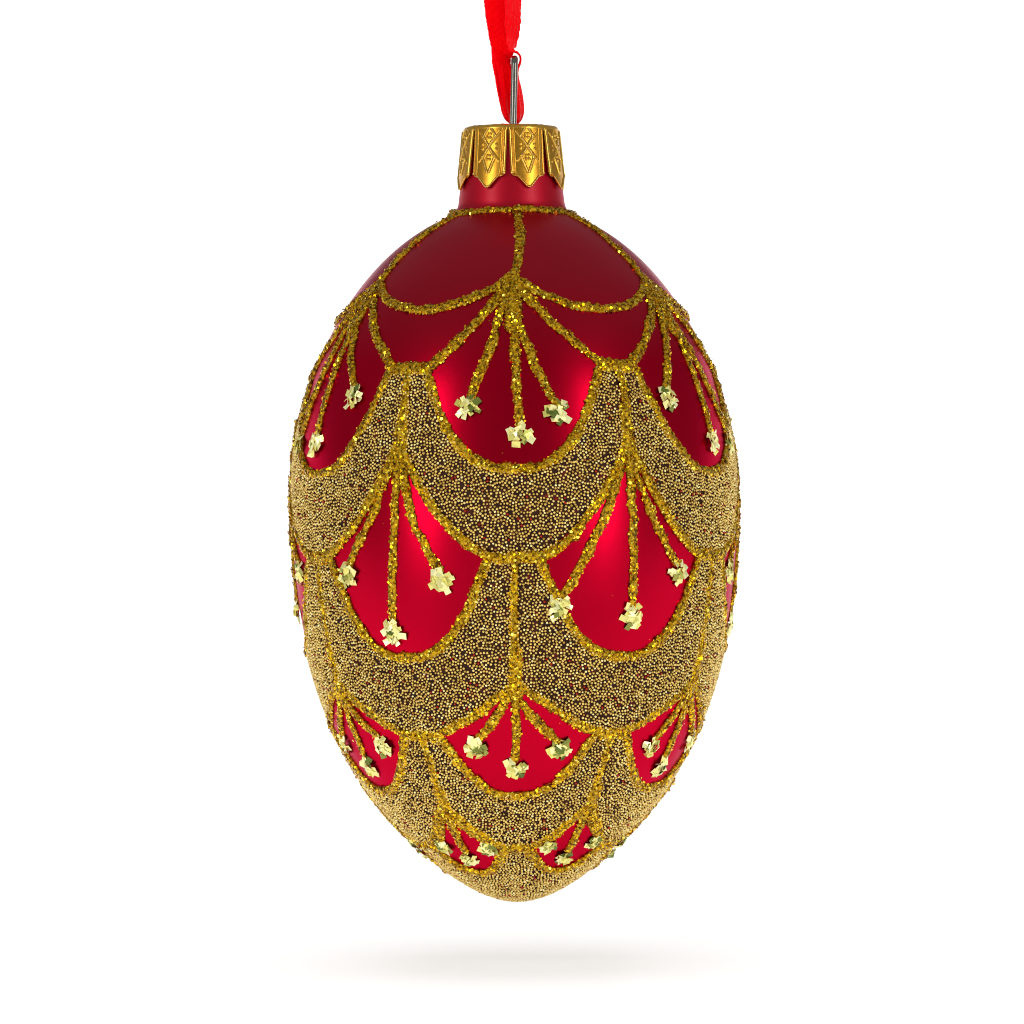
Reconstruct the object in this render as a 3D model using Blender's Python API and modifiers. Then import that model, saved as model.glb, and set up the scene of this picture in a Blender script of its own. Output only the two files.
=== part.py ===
"""Blown-glass egg ornament: a lacquered glass egg with bead swags and glitter fans, a stamped cap,
a wire hanger and a satin ribbon.

The world origin is the top of the ribbon's knot, where the ornament hangs, and +Z is up. The egg and
the pieces on it are modelled about the egg's centre: the middle of its widest plane, on its axis.
"""

import math

import bmesh
import bpy
from mathutils import Matrix, Vector

NAME = "egg_ornament"

# Egg: two unlike halves that meet at the widest plane
EGG_RADIUS = 0.02845
CROWN_HEIGHT = 0.0392
TIP_DEPTH = 0.04975
TIP_PINCH = 0.27
TIP_PINCH_POWER = 5.1
GLASS_WALL = 0.0009

# Neck: a slightly conical collar on top of the egg
NECK_BASE_RADIUS = 0.00675
NECK_RIM_RADIUS = 0.0056
NECK_HEIGHT = 0.01047
NECK_FILLET = 0.0014
RIM_EDGE = 0.0003

# Cap: a thin stamped cup whose skirt is cut into pointed petals
CLEARANCE = 0.0003
CAP_SHEET = 0.00025
CAP_EDGE_RADIUS = 0.0006
CAP_TOP_MIDDLE = 0.0022
CAP_SKIRT_TO_SHOULDER = 0.0064
CAP_SKIRT_TO_TIP = 0.0082
PETALS = 8
PETAL_PHASE = math.radians(-3.5)
PETAL_TIP_WIDTH = 0.0009
PETAL_SHOULDER_WIDTH = 0.0009
SLIT_TOP_WIDTH = 0.0002
SLIT_SHOULDER_WIDTH = 0.0007
SLIT_BELOW_TOP = 0.0008
WIRE_HOLE_CLEARANCE = 0.0003

# Hanger wire: a flat-topped loop above the cap and two sprung legs in the neck
WIRE_DIAMETER = 0.00085
LOOP_HEIGHT = 0.0090
LEG_SPACING = 0.0052
LOOP_CORNER = 0.0009
LEG_DEPTH = 0.022
LEG_BEND_LENGTH = 0.0045
CAP_LIFT = 0.003
LEG_TOE_IN = 0.0008
# The bend from hole to bore: shares of its length down and of its step outwards
LEG_BEND_SHARES = ((0.4, 0.3), (0.75, 0.8))
TOE_START_SHARE = 0.35

# Ribbon: a flat satin loop through the hanger, and the knot that it hangs by
RIBBON_WIDTH = 0.003
RIBBON_THICKNESS = 0.0003
KNOT_WIDTH = 0.0054
KNOT_DEPTH = 0.0036
KNOT_HEIGHT = 0.0038
KNOT_ROUNDING = 0.00108
KNOT_OFFSET = -0.0014
RIBBON_HEIGHT = 0.0182

# The ribbon's middle line from its left end, down through the hanger and up to its right end. Each
# point is metres right of the egg's axis, metres behind it and metres above the cap, and the degrees
# by which the ribbon's width is turned from facing the front.
RIBBON_ROUTE = [
    (-0.00245, 0.00060, 0.01820, 14),
    (-0.00230, 0.00060, 0.01625, 18),
    (-0.00200, 0.00060, 0.01350, 24),
    (-0.00172, 0.00055, 0.01130, 30),
    (-0.00166, 0.00045, 0.00960, 38),
    (-0.00172, 0.00030, 0.00850, 46),
    (-0.00150, 0.00020, 0.00710, 43),
    (-0.00128, 0.00010, 0.00435, 53),
    (-0.00096, 0.00000, 0.00200, 68),
    (-0.00062, 0.00000, 0.00090, 84),
    (0.00000, 0.00000, 0.00055, 90),
    (0.00058, 0.00000, 0.00090, 88),
    (0.00080, 0.00000, 0.00190, 78),
    (0.00084, 0.00000, 0.00330, 68),
    (0.00078, 0.00000, 0.00480, 72),
    (0.00066, -0.00010, 0.00620, 84),
    (0.00064, -0.00010, 0.00740, 90),
    (0.00064, -0.00015, 0.00860, 90),
    (0.00052, -0.00020, 0.00930, 82),
    (0.00012, -0.00030, 0.00990, 66),
    (-0.00018, -0.00045, 0.01070, 54),
    (-0.00032, -0.00060, 0.01220, 44),
    (-0.00044, -0.00070, 0.01450, 32),
    (-0.00046, -0.00070, 0.01820, 22),
]
ROUTE_STEPS = 3

# Decoration: rows of hanging swags, each row turned by half a place from the one above
PLACES = 6
# The gap under the layers grows with the egg, as the flat facets of both stand off its true curve
DECOR_GAP = EGG_RADIUS / 130
BEAD_LAYER = 0.00045
GLITTER_LAYER = 0.0005
LINE_WIDTH = 0.0011
SWAG_POWER = 2.2
FIELD_SPAN = 0.81
RING_BELOW_FOOT = 0.0002

# Each row of fans: its apex, where its two garlands meet the neighbours', the bottom of its red field
# and the ends of its outer and middle strands. They line up with the egg, so they are shares of its
# crown's height above the widest plane and shares of its tip's depth below it.
FAN_ROWS = {
    "top": (0.730, 0.452, 0.125, 0.321, 0.255),
    "upper": (0.204, -0.113, -0.368, -0.185, -0.269),
    "lower": (-0.424, -0.555, -0.702, -0.591, -0.645),
    "tip": (-0.734, -0.844, -0.911, -0.846, -0.880),
}
BEAD_TIP_TOP = -0.918
FAN_SPREAD = {"top": 11, "upper": 12, "lower": 11, "tip": 12}
FAN_STRAND_WIDTH = 0.0011
FOIL_WIDTH = {"top": 0.0031, "upper": 0.0031, "lower": 0.0028, "tip": 0.0012}
FAN_CROWN_SHARE = 0.3
FAN_CROWN_ROWS = 3
FAN_STRAND_ROWS = 5
SWAG_COLUMNS = 10
SWAG_ROWS = 3
RING_COLUMNS = 36
RING_ROWS = 2

EGG_STEPS = 40
EGG_PROFILE_STEPS = 20
SKIN_STEPS = 200
FILLET_STEPS = 4
CAP_STEPS = 64
CAP_EDGE_STEPS = 3
HOLE_SIDES = 16
BEAD_TIP_SIDES = 24
BEAD_TIP_STEPS = 5
LOOP_BEND_STEPS = 5
SMOOTH_DEGREES = 40
WELD_DISTANCE = 0.000001

NECK_FOOT = CROWN_HEIGHT * math.sin(math.acos(NECK_BASE_RADIUS / EGG_RADIUS))
NECK_RIM_HEIGHT = NECK_FOOT + NECK_HEIGHT
CAP_TOP = NECK_RIM_HEIGHT + CLEARANCE + CAP_SHEET
LOOP_TOP = CAP_TOP + LOOP_HEIGHT - WIRE_DIAMETER / 2
HANG_HEIGHT = CAP_TOP + RIBBON_HEIGHT + CLEARANCE + KNOT_HEIGHT


def clear_scene():
    for old in list(bpy.data.objects):
        bpy.data.objects.remove(old, do_unlink=True)


def new_collection(name):
    collection = bpy.data.collections.new(name)
    bpy.context.scene.collection.children.link(collection)
    return collection


def principled(name, colour, roughness, metallic):
    material = bpy.data.materials.new(name)
    material.use_nodes = True
    shader = material.node_tree.nodes["Principled BSDF"]
    shader.inputs["Base Color"].default_value = (*colour, 1)
    shader.inputs["Roughness"].default_value = roughness
    shader.inputs["Metallic"].default_value = metallic
    material.diffuse_color = (*colour, 1)
    return material


def add_mesh(name, bm, collection, material, location=(0, 0, 0)):
    """Makes bm a named object and frees it."""
    mesh = bpy.data.meshes.new(name)
    bm.to_mesh(mesh)
    bm.free()
    piece = bpy.data.objects.new(name, mesh)
    collection.objects.link(piece)
    piece.location = location
    if material:
        mesh.materials.append(material)
    return piece


def turned(name, profile, steps, collection, material):
    """A turned shape from (radius, height) points that run down its outer side."""
    bm = bmesh.new()
    points = [bm.verts.new((radius, 0, height)) for radius, height in profile]
    for a, b in zip(points, points[1:]):
        bm.edges.new((a, b))
    piece = add_mesh(name, bm, collection, material)
    screw = piece.modifiers.new("turn", "SCREW")
    screw.steps = screw.render_steps = steps
    screw.use_merge_vertices = True
    screw.merge_threshold = WELD_DISTANCE
    smooth_by_angle(piece)
    return piece


def smooth_by_angle(piece):
    piece.data.shade_smooth()
    piece.data.set_sharp_from_angle(angle=math.radians(SMOOTH_DEGREES))


# Glass


def egg_point(turn):
    """(radius, height) on the egg: turn is 90 degrees at the crown, 0 at the widest, -90 at the tip."""
    rise = math.sin(turn)
    if rise >= 0:
        return EGG_RADIUS * math.cos(turn), CROWN_HEIGHT * rise
    pinch = 1 - TIP_PINCH * (-rise) ** TIP_PINCH_POWER
    return EGG_RADIUS * math.cos(turn) * pinch, TIP_DEPTH * rise


def neck_radius(height):
    """Outer radius of the neck's cone."""
    share = (height - NECK_FOOT) / NECK_HEIGHT
    return NECK_BASE_RADIUS + (NECK_RIM_RADIUS - NECK_BASE_RADIUS) * share


def outer_profile(egg_steps):
    """Outer (radius, height) points of the glass, from the neck's rim down to the tip."""
    above = NECK_FOOT + NECK_FILLET
    start_turn = math.acos((NECK_BASE_RADIUS + NECK_FILLET) / EGG_RADIUS)
    start = Vector((neck_radius(above), above))
    corner = Vector((NECK_BASE_RADIUS, NECK_FOOT))
    end = Vector(egg_point(start_turn))
    fillet = []
    for step in range(FILLET_STEPS + 1):
        t = step / FILLET_STEPS
        fillet.append(start * (1 - t) ** 2 + corner * 2 * t * (1 - t) + end * t**2)
    rim = [
        (NECK_RIM_RADIUS - RIM_EDGE, NECK_RIM_HEIGHT),
        (NECK_RIM_RADIUS, NECK_RIM_HEIGHT - RIM_EDGE),
    ]
    egg = []
    for step in range(1, egg_steps):
        turn = start_turn + (-math.pi / 2 - start_turn) * step / egg_steps
        egg.append(egg_point(turn))
    return [*rim, *[tuple(p) for p in fillet], *egg, (0.0, -TIP_DEPTH)]


def inner_profile(outer):
    """The outer points moved inwards by the wall, from the neck's rim down to the tip."""
    inner = [(NECK_RIM_RADIUS - GLASS_WALL + RIM_EDGE, NECK_RIM_HEIGHT)]
    inner.append((NECK_RIM_RADIUS - GLASS_WALL, NECK_RIM_HEIGHT - RIM_EDGE))
    for before, here, after in zip(outer[1:], outer[2:], outer[3:]):
        along = Vector((after[0] - before[0], after[1] - before[1])).normalized()
        inner.append((here[0] + along.y * GLASS_WALL, here[1] - along.x * GLASS_WALL))
    return [*inner, (0.0, GLASS_WALL - TIP_DEPTH)]


def make_glass(collection, material):
    outer = outer_profile(EGG_PROFILE_STEPS)
    profile = [*reversed(inner_profile(outer)), *outer]
    turned("glass_egg", profile, EGG_STEPS, collection, material)


SKIN = outer_profile(SKIN_STEPS)


def skin_point(angle, height, lift):
    """A point lift outside the glass, at an angle turned from the front and a height."""
    rows = list(zip(SKIN, SKIN[1:]))
    below = next((pair for pair in rows if pair[1][1] <= height), rows[-1])
    (r0, z0), (r1, z1) = below
    share = (z0 - height) / (z0 - z1)
    radius = r0 + (r1 - r0) * share
    slope = Vector((r1 - r0, z1 - z0)).normalized()
    radius -= slope.y * lift
    height += slope.x * lift
    return Vector((radius * math.sin(angle), -radius * math.cos(angle), height))


# Decoration


def solid_skin(name, bm, layer, collection, material):
    """Thickens an open surface that lies just off the glass into a closed layer."""
    bmesh.ops.remove_doubles(bm, verts=bm.verts, dist=WELD_DISTANCE)
    piece = add_mesh(name, bm, collection, material)
    thicken = piece.modifiers.new("layer", "SOLIDIFY")
    thicken.thickness = layer
    thicken.offset = 1
    smooth_by_angle(piece)


def add_grid(bm, columns, rows, place):
    """Adds a grid whose points place(across, up) puts on the glass, both running from 0 to 1."""
    made = bmesh.ops.create_grid(bm, x_segments=columns, y_segments=rows, size=0.5)
    for v in made["verts"]:
        v.co = place(v.co.x + 0.5, v.co.y + 0.5)


def level(share):
    """Height of a share of the crown's height, or below the widest plane of the tip's depth."""
    return share * (CROWN_HEIGHT if share > 0 else TIP_DEPTH)


def hang(low, high, across, span=1):
    """Height of a swag between two high ends that span a share of the way, across from 0 to 1."""
    return low + (high - low) * min(1, abs(2 * across - 1) / span) ** SWAG_POWER


def make_bead_swag(name, middle, upper_row, lower_row, collection, material):
    """A bead-filled crescent under one row's red field and over the next row's garland."""
    _, upper_ends, upper_low, _, _ = map(level, upper_row)
    lower_ends, lower_low, _, _, _ = map(level, lower_row)
    half = math.pi / PLACES - LINE_WIDTH / EGG_RADIUS

    def place(across, up):
        top = hang(upper_low, upper_ends, across, FIELD_SPAN) - LINE_WIDTH / 2
        bottom = hang(lower_low, lower_ends, across) + LINE_WIDTH / 2
        angle = middle + (2 * across - 1) * half
        return skin_point(angle, bottom + (top - bottom) * up, DECOR_GAP)

    bm = bmesh.new()
    add_grid(bm, SWAG_COLUMNS, SWAG_ROWS, place)
    solid_skin(name, bm, BEAD_LAYER, collection, material)


def bowl_side(lift):
    """(radius, height) points along the egg's tip, lift outside it, from the bowl's rim inwards."""
    rim_turn = math.asin(BEAD_TIP_TOP)
    side = []
    for step in range(BEAD_TIP_STEPS):
        turn = rim_turn + (-math.pi / 2 - rim_turn) * step / BEAD_TIP_STEPS
        at = skin_point(0, egg_point(turn)[1], lift)
        side.append((-at.y, at.z))
    return [*side, (0.0, -TIP_DEPTH - lift)]


def make_bead_tip(collection, material):
    """The bead-covered bottom of the egg, a shallow bowl."""
    inner = bowl_side(DECOR_GAP)
    outer = bowl_side(DECOR_GAP + BEAD_LAYER)
    turned("bead_tip", [*reversed(inner), *outer], BEAD_TIP_SIDES, collection, material)


def make_neck_ring(collection, material):
    """The glitter line round the foot of the neck."""

    def place(across, up):
        height = NECK_FOOT - RING_BELOW_FOOT + (up - 0.5) * LINE_WIDTH
        return skin_point(across * 2 * math.pi, height, DECOR_GAP)

    bm = bmesh.new()
    add_grid(bm, RING_COLUMNS, RING_ROWS, place)
    solid_skin("neck_ring", bm, GLITTER_LAYER, collection, material)


def strand_rows(apex, split, end, foil_width):
    """(height, width, swing) of a strand's rows, from the apex to the foil; swing ends at 1."""
    rows = []
    for row in range(FAN_CROWN_ROWS):
        share = row / FAN_CROWN_ROWS
        rows.append((apex + (split - apex) * share, FAN_STRAND_WIDTH * (1 + share) / 2, 0))
    for row in range(FAN_STRAND_ROWS + 1):
        share = row / FAN_STRAND_ROWS
        rows.append((split + (end - split) * share, FAN_STRAND_WIDTH, share))
    foil = [(height, foil_width, swing) for height, _, swing in rows[-2:]]
    return [*rows[:-2], *foil]


def make_fan(name, middle, kind, collection, material):
    """A glitter fan: a filled crown at its apex and three strands that end in foil patches."""
    apex, _, _, outer_end, middle_end = map(level, FAN_ROWS[kind])
    split = apex - FAN_CROWN_SHARE * (apex - middle_end)
    bm = bmesh.new()
    for side, end in ((-1, outer_end), (0, middle_end), (1, outer_end)):
        rows = strand_rows(apex, split, end, FOIL_WIDTH[kind])

        def place(across, up):
            height, width, swing = rows[round((1 - up) * (len(rows) - 1))]
            turn = middle + side * swing * math.radians(FAN_SPREAD[kind])
            along = side * min(width, FAN_STRAND_WIDTH) + (across - 0.5) * width
            radius = skin_point(0, height, 0).xy.length
            return skin_point(turn + along / radius, height, DECOR_GAP)

        add_grid(bm, 1, len(rows) - 1, place)
    solid_skin(name, bm, GLITTER_LAYER, collection, material)


def make_decoration(collection, beads, glitter):
    place_angle = 2 * math.pi / PLACES
    rows = list(FAN_ROWS.items())
    for row, (kind, _) in enumerate(rows):
        for place in range(PLACES):
            middle = place_angle * (place + 0.5 * (row % 2))
            make_fan(f"glitter_fan_{kind}_{place + 1}", middle, kind, collection, glitter)
    for row, ((_, upper), (kind, lower)) in enumerate(zip(rows, rows[1:])):
        for place in range(PLACES):
            middle = place_angle * (place + 0.5 * (row % 2))
            name = f"bead_swag_{kind}_{place + 1}"
            make_bead_swag(name, middle, upper, lower, collection, beads)
    make_bead_tip(collection, beads)
    make_neck_ring(collection, glitter)


# Cap


def cap_profile():
    """(radius, height) points of the cap before its petals are cut, down its outer side first."""
    tip_height = CAP_TOP - CAP_SKIRT_TO_TIP
    top_radius = NECK_RIM_RADIUS + CLEARANCE + CAP_SHEET
    tip_radius = neck_radius(tip_height) + CLEARANCE + CAP_SHEET
    edge = CAP_EDGE_RADIUS
    profile = [(0.0, CAP_TOP), (CAP_TOP_MIDDLE, CAP_TOP)]
    for step in range(CAP_EDGE_STEPS + 1):
        turn = math.pi / 2 * (1 - step / CAP_EDGE_STEPS)
        across = top_radius - edge + edge * math.cos(turn)
        profile.append((across, CAP_TOP - edge + edge * math.sin(turn)))
    profile.append((tip_radius, tip_height))
    profile.append((tip_radius - CAP_SHEET, tip_height))
    profile.append((top_radius - CAP_SHEET, CAP_TOP - edge))
    profile.append((top_radius - edge, CAP_TOP - CAP_SHEET))
    profile.append((0.0, CAP_TOP - CAP_SHEET))
    return profile


def petal_gap_outline():
    """The gap between two petals, seen from the front: a slit that opens into a notch."""
    top = CAP_TOP - SLIT_BELOW_TOP
    shoulder = CAP_TOP - CAP_SKIRT_TO_SHOULDER
    tip = CAP_TOP - CAP_SKIRT_TO_TIP
    pitch = 2 * math.pi / PETALS
    tip_radius = neck_radius(tip) + CLEARANCE + CAP_SHEET
    notch = tip_radius * math.sin((pitch - PETAL_TIP_WIDTH / tip_radius) / 2)
    half_slit = SLIT_SHOULDER_WIDTH / 2
    shoulder_end = half_slit + PETAL_SHOULDER_WIDTH
    right = [
        (SLIT_TOP_WIDTH / 2, top),
        (half_slit, shoulder),
        (shoulder_end, shoulder),
        (notch, tip),
        (notch, tip - CAP_SHEET),
    ]
    return [*right, *[(-x, z) for x, z in reversed(right)]]


def outline_prism(name, outline, depth, collection):
    """A closed prism: an outline in the XZ plane, extruded along Y by depth."""
    curve = bpy.data.curves.new(name, "CURVE")
    curve.dimensions = "2D"
    curve.fill_mode = "BOTH"
    curve.extrude = depth / 2
    spline = curve.splines.new("POLY")
    spline.points.add(len(outline) - 1)
    for point, (x, z) in zip(spline.points, outline):
        point.co = (x, z, 0, 1)
    spline.use_cyclic_u = True
    drawn = bpy.data.objects.new(name, curve)
    collection.objects.link(drawn)
    drawn.rotation_euler.x = math.pi / 2
    return as_mesh(drawn, collection)


def as_mesh(drawn, collection):
    """Replaces a curve object with a closed mesh object."""
    bpy.context.view_layer.update()
    shown = drawn.evaluated_get(bpy.context.evaluated_depsgraph_get())
    mesh = bpy.data.meshes.new_from_object(shown)
    bm = bmesh.new()
    bm.from_mesh(mesh)
    bmesh.ops.remove_doubles(bm, verts=bm.verts, dist=WELD_DISTANCE)
    bmesh.ops.recalc_face_normals(bm, faces=bm.faces)
    bm.to_mesh(mesh)
    bm.free()
    piece = bpy.data.objects.new(drawn.name, mesh)
    piece.matrix_world = drawn.matrix_world.copy()
    collection.objects.link(piece)
    bpy.data.objects.remove(drawn, do_unlink=True)
    return piece


def cut(piece, cutter):
    cutter.hide_render = True
    cutter.display_type = "WIRE"
    boolean = piece.modifiers.new(cutter.name, "BOOLEAN")
    boolean.operation = "DIFFERENCE"
    boolean.object = cutter
    boolean.solver = "EXACT"


def make_cap(collection, cutters, material):
    piece = turned("cap", cap_profile(), CAP_STEPS, collection, material)
    across = 4 * NECK_BASE_RADIUS
    pitch = 2 * math.pi / PETALS
    for number in range(PETALS // 2):
        name = f"petal_gap_{number + 1}"
        gap = outline_prism(name, petal_gap_outline(), across, cutters)
        turn = Matrix.Rotation(PETAL_PHASE + number * pitch, 4, "Z")
        gap.matrix_world = turn @ gap.matrix_world
        cut(piece, gap)
    for side in (-1, 1):
        bm = bmesh.new()
        radius = WIRE_DIAMETER / 2 + WIRE_HOLE_CLEARANCE
        depth = 8 * CAP_SHEET
        bmesh.ops.create_cone(
            bm, cap_ends=True, segments=HOLE_SIDES, radius1=radius, radius2=radius, depth=depth
        )
        place = (0, side * LEG_SPACING / 2, CAP_TOP)
        cut(piece, add_mesh(f"wire_hole_{2 if side > 0 else 1}", bm, cutters, None, place))


# Hanger


def bend(start, corner, end, steps):
    """Points of a round bend from start to end about a corner."""
    points = []
    for step in range(steps + 1):
        t = step / steps
        points.append(start * (1 - t) ** 2 + corner * 2 * t * (1 - t) + end * t**2)
    return points


def wire_half_route():
    """(out, up) points of half the wire, from its top middle down one leg to its toe."""
    half = LEG_SPACING / 2
    straight_to = CAP_TOP - CAP_LIFT - 2 * CLEARANCE
    bore = NECK_RIM_RADIUS - GLASS_WALL
    sprung = bore - CLEARANCE - WIRE_DIAMETER / 2
    toe = CAP_TOP - LEG_DEPTH
    corner = Vector((half, LOOP_TOP))
    points = [Vector((0, LOOP_TOP))]
    loop_start = corner - Vector((LOOP_CORNER, 0))
    points += bend(loop_start, corner, corner - Vector((0, LOOP_CORNER)), LOOP_BEND_STEPS)
    points.append(Vector((half, (LOOP_TOP + straight_to) / 2)))
    points.append(Vector((half, straight_to)))
    bent = straight_to - LEG_BEND_LENGTH
    for down, out in LEG_BEND_SHARES:
        points.append(Vector((half + (sprung - half) * out, straight_to - LEG_BEND_LENGTH * down)))
    points.append(Vector((sprung, bent)))
    points.append(Vector((sprung, (bent * 2 + toe) / 3)))
    points.append(Vector((sprung - LEG_TOE_IN * TOE_START_SHARE, (bent + toe * 2) / 3)))
    points.append(Vector((sprung - LEG_TOE_IN, toe)))
    return points


def make_wire(collection, material):
    """The wire, with its origin on the swing axis through the top of its loop."""
    half = wire_half_route()
    route = [(0, p.x, p.y - LOOP_TOP) for p in reversed(half)]
    route += [(0, -p.x, p.y - LOOP_TOP) for p in half[1:]]
    curve = bpy.data.curves.new("hanger_wire", "CURVE")
    curve.dimensions = "3D"
    curve.bevel_depth = WIRE_DIAMETER / 2
    curve.bevel_resolution = 2
    curve.use_fill_caps = True
    curve.resolution_u = 1
    curve.render_resolution_u = 0
    spline = curve.splines.new("POLY")
    spline.points.add(len(route) - 1)
    for point, place in zip(spline.points, route):
        point.co = (*place, 1)
    curve.materials.append(material)
    piece = bpy.data.objects.new("hanger_wire", curve)
    piece.location.z = LOOP_TOP
    collection.objects.link(piece)


# Ribbon


def smooth_route(points, steps):
    """Catmull-Rom points through the route's own points."""
    ends = [points[0] * 2 - points[1], *points, points[-1] * 2 - points[-2]]
    route = []
    for a, b, c, d in zip(ends, ends[1:], ends[2:], ends[3:]):
        for step in range(steps):
            t = step / steps
            route.append(
                (b * 2 + (c - a) * t + (a * 2 - b * 5 + c * 4 - d) * t**2
                 + (b * 3 - a - c * 3 + d) * t**3) / 2
            )
    return [*route, points[-1]]


def make_ribbon(collection, material):
    """The flat ribbon: a narrow section lofted along its route and turned as it goes."""
    route = smooth_route([Vector(p) for p in RIBBON_ROUTE], ROUTE_STEPS)
    places = [Vector((x, y, CAP_TOP + z)) for x, y, z, _ in route]
    bm = bmesh.new()
    sections = []
    for number, (place, (_, _, _, turn)) in enumerate(zip(places, route)):
        before = places[max(number - 1, 0)]
        after = places[min(number + 1, len(places) - 1)]
        along = (after - before).normalized()
        wide = Vector((math.cos(math.radians(turn)), math.sin(math.radians(turn)), 0))
        wide = (wide - along * wide.dot(along)).normalized()
        thick = along.cross(wide)
        corners = ((-1, -1), (1, -1), (1, 1), (-1, 1))
        section = []
        for across, through in corners:
            out = wide * across * RIBBON_WIDTH / 2 + thick * through * RIBBON_THICKNESS / 2
            section.append(bm.verts.new(place + out))
        sections.append(section)
    for low, high in zip(sections, sections[1:]):
        for side in range(4):
            other = (side + 1) % 4
            bm.faces.new((low[side], low[other], high[other], high[side]))
    bm.faces.new(reversed(sections[0]))
    bm.faces.new(sections[-1])
    bmesh.ops.recalc_face_normals(bm, faces=bm.faces)
    smooth_by_angle(add_mesh("ribbon_loop", bm, collection, material))


def make_knot(collection, material):
    """The knot: a rounded lump over the ribbon's two ends."""
    bm = bmesh.new()
    bmesh.ops.create_cube(bm, size=1)
    bmesh.ops.scale(bm, vec=(KNOT_WIDTH, KNOT_DEPTH, KNOT_HEIGHT), verts=bm.verts)
    middle = (KNOT_OFFSET, 0, HANG_HEIGHT - KNOT_HEIGHT / 2)
    piece = add_mesh("ribbon_knot", bm, collection, material, middle)
    rounding = piece.modifiers.new("rounding", "BEVEL")
    rounding.width = KNOT_ROUNDING
    rounding.segments = 3
    smooth_by_angle(piece)


def build():
    clear_scene()
    pieces = new_collection(NAME)
    cutters = new_collection(f"{NAME}_cutters")
    beads = principled("gold_beads", (0.42, 0.30, 0.11), 0.45, 0.6)
    glitter = principled("gold_glitter", (0.62, 0.42, 0.04), 0.3, 0.8)
    ribbon = principled("red_ribbon", (0.72, 0.0, 0.01), 0.4, 0.0)
    make_glass(pieces, principled("red_glass", (0.40, 0.0, 0.02), 0.3, 0.3))
    make_cap(pieces, cutters, principled("gold_cap", (0.75, 0.45, 0.10), 0.25, 1.0))
    make_wire(pieces, principled("steel_wire", (0.55, 0.55, 0.55), 0.2, 1.0))
    make_ribbon(pieces, ribbon)
    make_knot(pieces, ribbon)
    make_decoration(pieces, beads, glitter)
    centre = bpy.data.objects.new("egg_centre", None)
    pieces.objects.link(centre)
    centre.location.z = -HANG_HEIGHT
    for piece in [*pieces.objects, *cutters.objects]:
        if piece is not centre:
            piece.parent = centre


build()
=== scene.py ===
"""The looks of the blown-glass egg ornament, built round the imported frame.

Heights of the ring, the garlands, the fan rows and the strands are above the egg's widest plane, in
metres. Angles go round the egg's axis from the front. Every piece stays where its CAD node is.
"""

import math

import bpy
import numpy as np
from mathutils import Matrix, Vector, kdtree


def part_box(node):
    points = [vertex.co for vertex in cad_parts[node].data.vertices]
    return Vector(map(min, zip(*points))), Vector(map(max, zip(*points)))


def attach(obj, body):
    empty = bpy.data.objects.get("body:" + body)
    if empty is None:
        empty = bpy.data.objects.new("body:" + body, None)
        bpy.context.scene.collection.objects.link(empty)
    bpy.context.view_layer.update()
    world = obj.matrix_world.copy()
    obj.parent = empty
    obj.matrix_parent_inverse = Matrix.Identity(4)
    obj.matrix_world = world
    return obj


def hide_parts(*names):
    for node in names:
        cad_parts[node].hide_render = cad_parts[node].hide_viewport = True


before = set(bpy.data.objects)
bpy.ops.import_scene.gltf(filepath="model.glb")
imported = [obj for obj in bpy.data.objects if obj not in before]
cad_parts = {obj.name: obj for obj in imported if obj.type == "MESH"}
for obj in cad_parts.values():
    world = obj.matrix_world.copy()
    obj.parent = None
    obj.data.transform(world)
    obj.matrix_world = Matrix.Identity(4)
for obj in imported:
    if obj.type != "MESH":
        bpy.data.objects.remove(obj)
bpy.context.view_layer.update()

# The egg's form, as in the CAD model
EGG_RADIUS = 0.02845
CROWN_HEIGHT = 0.0392
TIP_DEPTH = 0.04975
TIP_PINCH = 0.27
TIP_PINCH_POWER = 5.1
GLASS_WALL = 0.0009
NECK_BASE_RADIUS = 0.00695
NECK_RIM_RADIUS = 0.0057
NECK_RIM_HEIGHT = 0.04855
NECK_FILLET = 0.0014
RIM_EDGE = 0.0003

EGG_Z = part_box("glass_egg")[0].z + TIP_DEPTH
CAP_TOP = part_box("cap")[1].z
LOOP_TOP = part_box("hanger_wire")[1].z

# Cap
CAP_HEIGHT = 0.0082
CAP_EDGE = 0.0006
CAP_SHEET = 0.00022
CAP_TOP_RADIUS = 0.00614
CAP_TIP_RADIUS = 0.00700
CAP_TOP_RINGS = (0.0005, 0.0015, 0.0026, 0.0036, 0.0044, 0.0050, 0.00554)
CAP_DENT_RADIUS = 0.0057
CAP_DENT_SPREAD = 0.0004
CAP_DENT = 0.00006
WIRE_HOLE_CLEARANCE = 0.0002
PETALS = 8
PETAL_PHASE = math.radians(-3.5)
PETAL_CURL = 0.00012
RELIEF = 0.00022
MM = 1e-3
# A petal's outline in millimetres: drops are below the cap's top, widths are halves
SLIT_DROPS, SLIT_WIDTHS = (0.8, 6.4), (0.06, 0.34)
SHOULDER, SHOULDER_DEPTH = 6.45, 0.22
POINT_DROPS, POINT_WIDTHS = (6.67, 7.8, 8.1, 8.2), (1.62, 0.62, 0.36, 0.12)
# A petal's stamping in millimetres: two ribs down each side, and a lattice in the panel between them
RIB_INSETS, RIB_WIDTH, RIB_END = (0.22, 0.52), 0.10, 6.5
PANEL_INSET, PANEL_END = 0.62, 6.2
EDGE_RIB_WIDTH = 0.13
CROSS_DROP = 2.95
DIAMOND_HALF, DIAMOND_HEIGHT, DIAMOND_TAIL = 0.82, 2.75, (0.1, 0.55)
BAR_WIDTH = 0.11
ARM_REACH, ARM_WIDTH = (1.45, 1.9), 0.09
SIDE_DOT, SIDE_DOT_WIDTH = (0.98, 0.28), 0.15
INNER_DOT, INNER_DOT_WIDTH = (0.17, 0.24), 0.13

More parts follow.
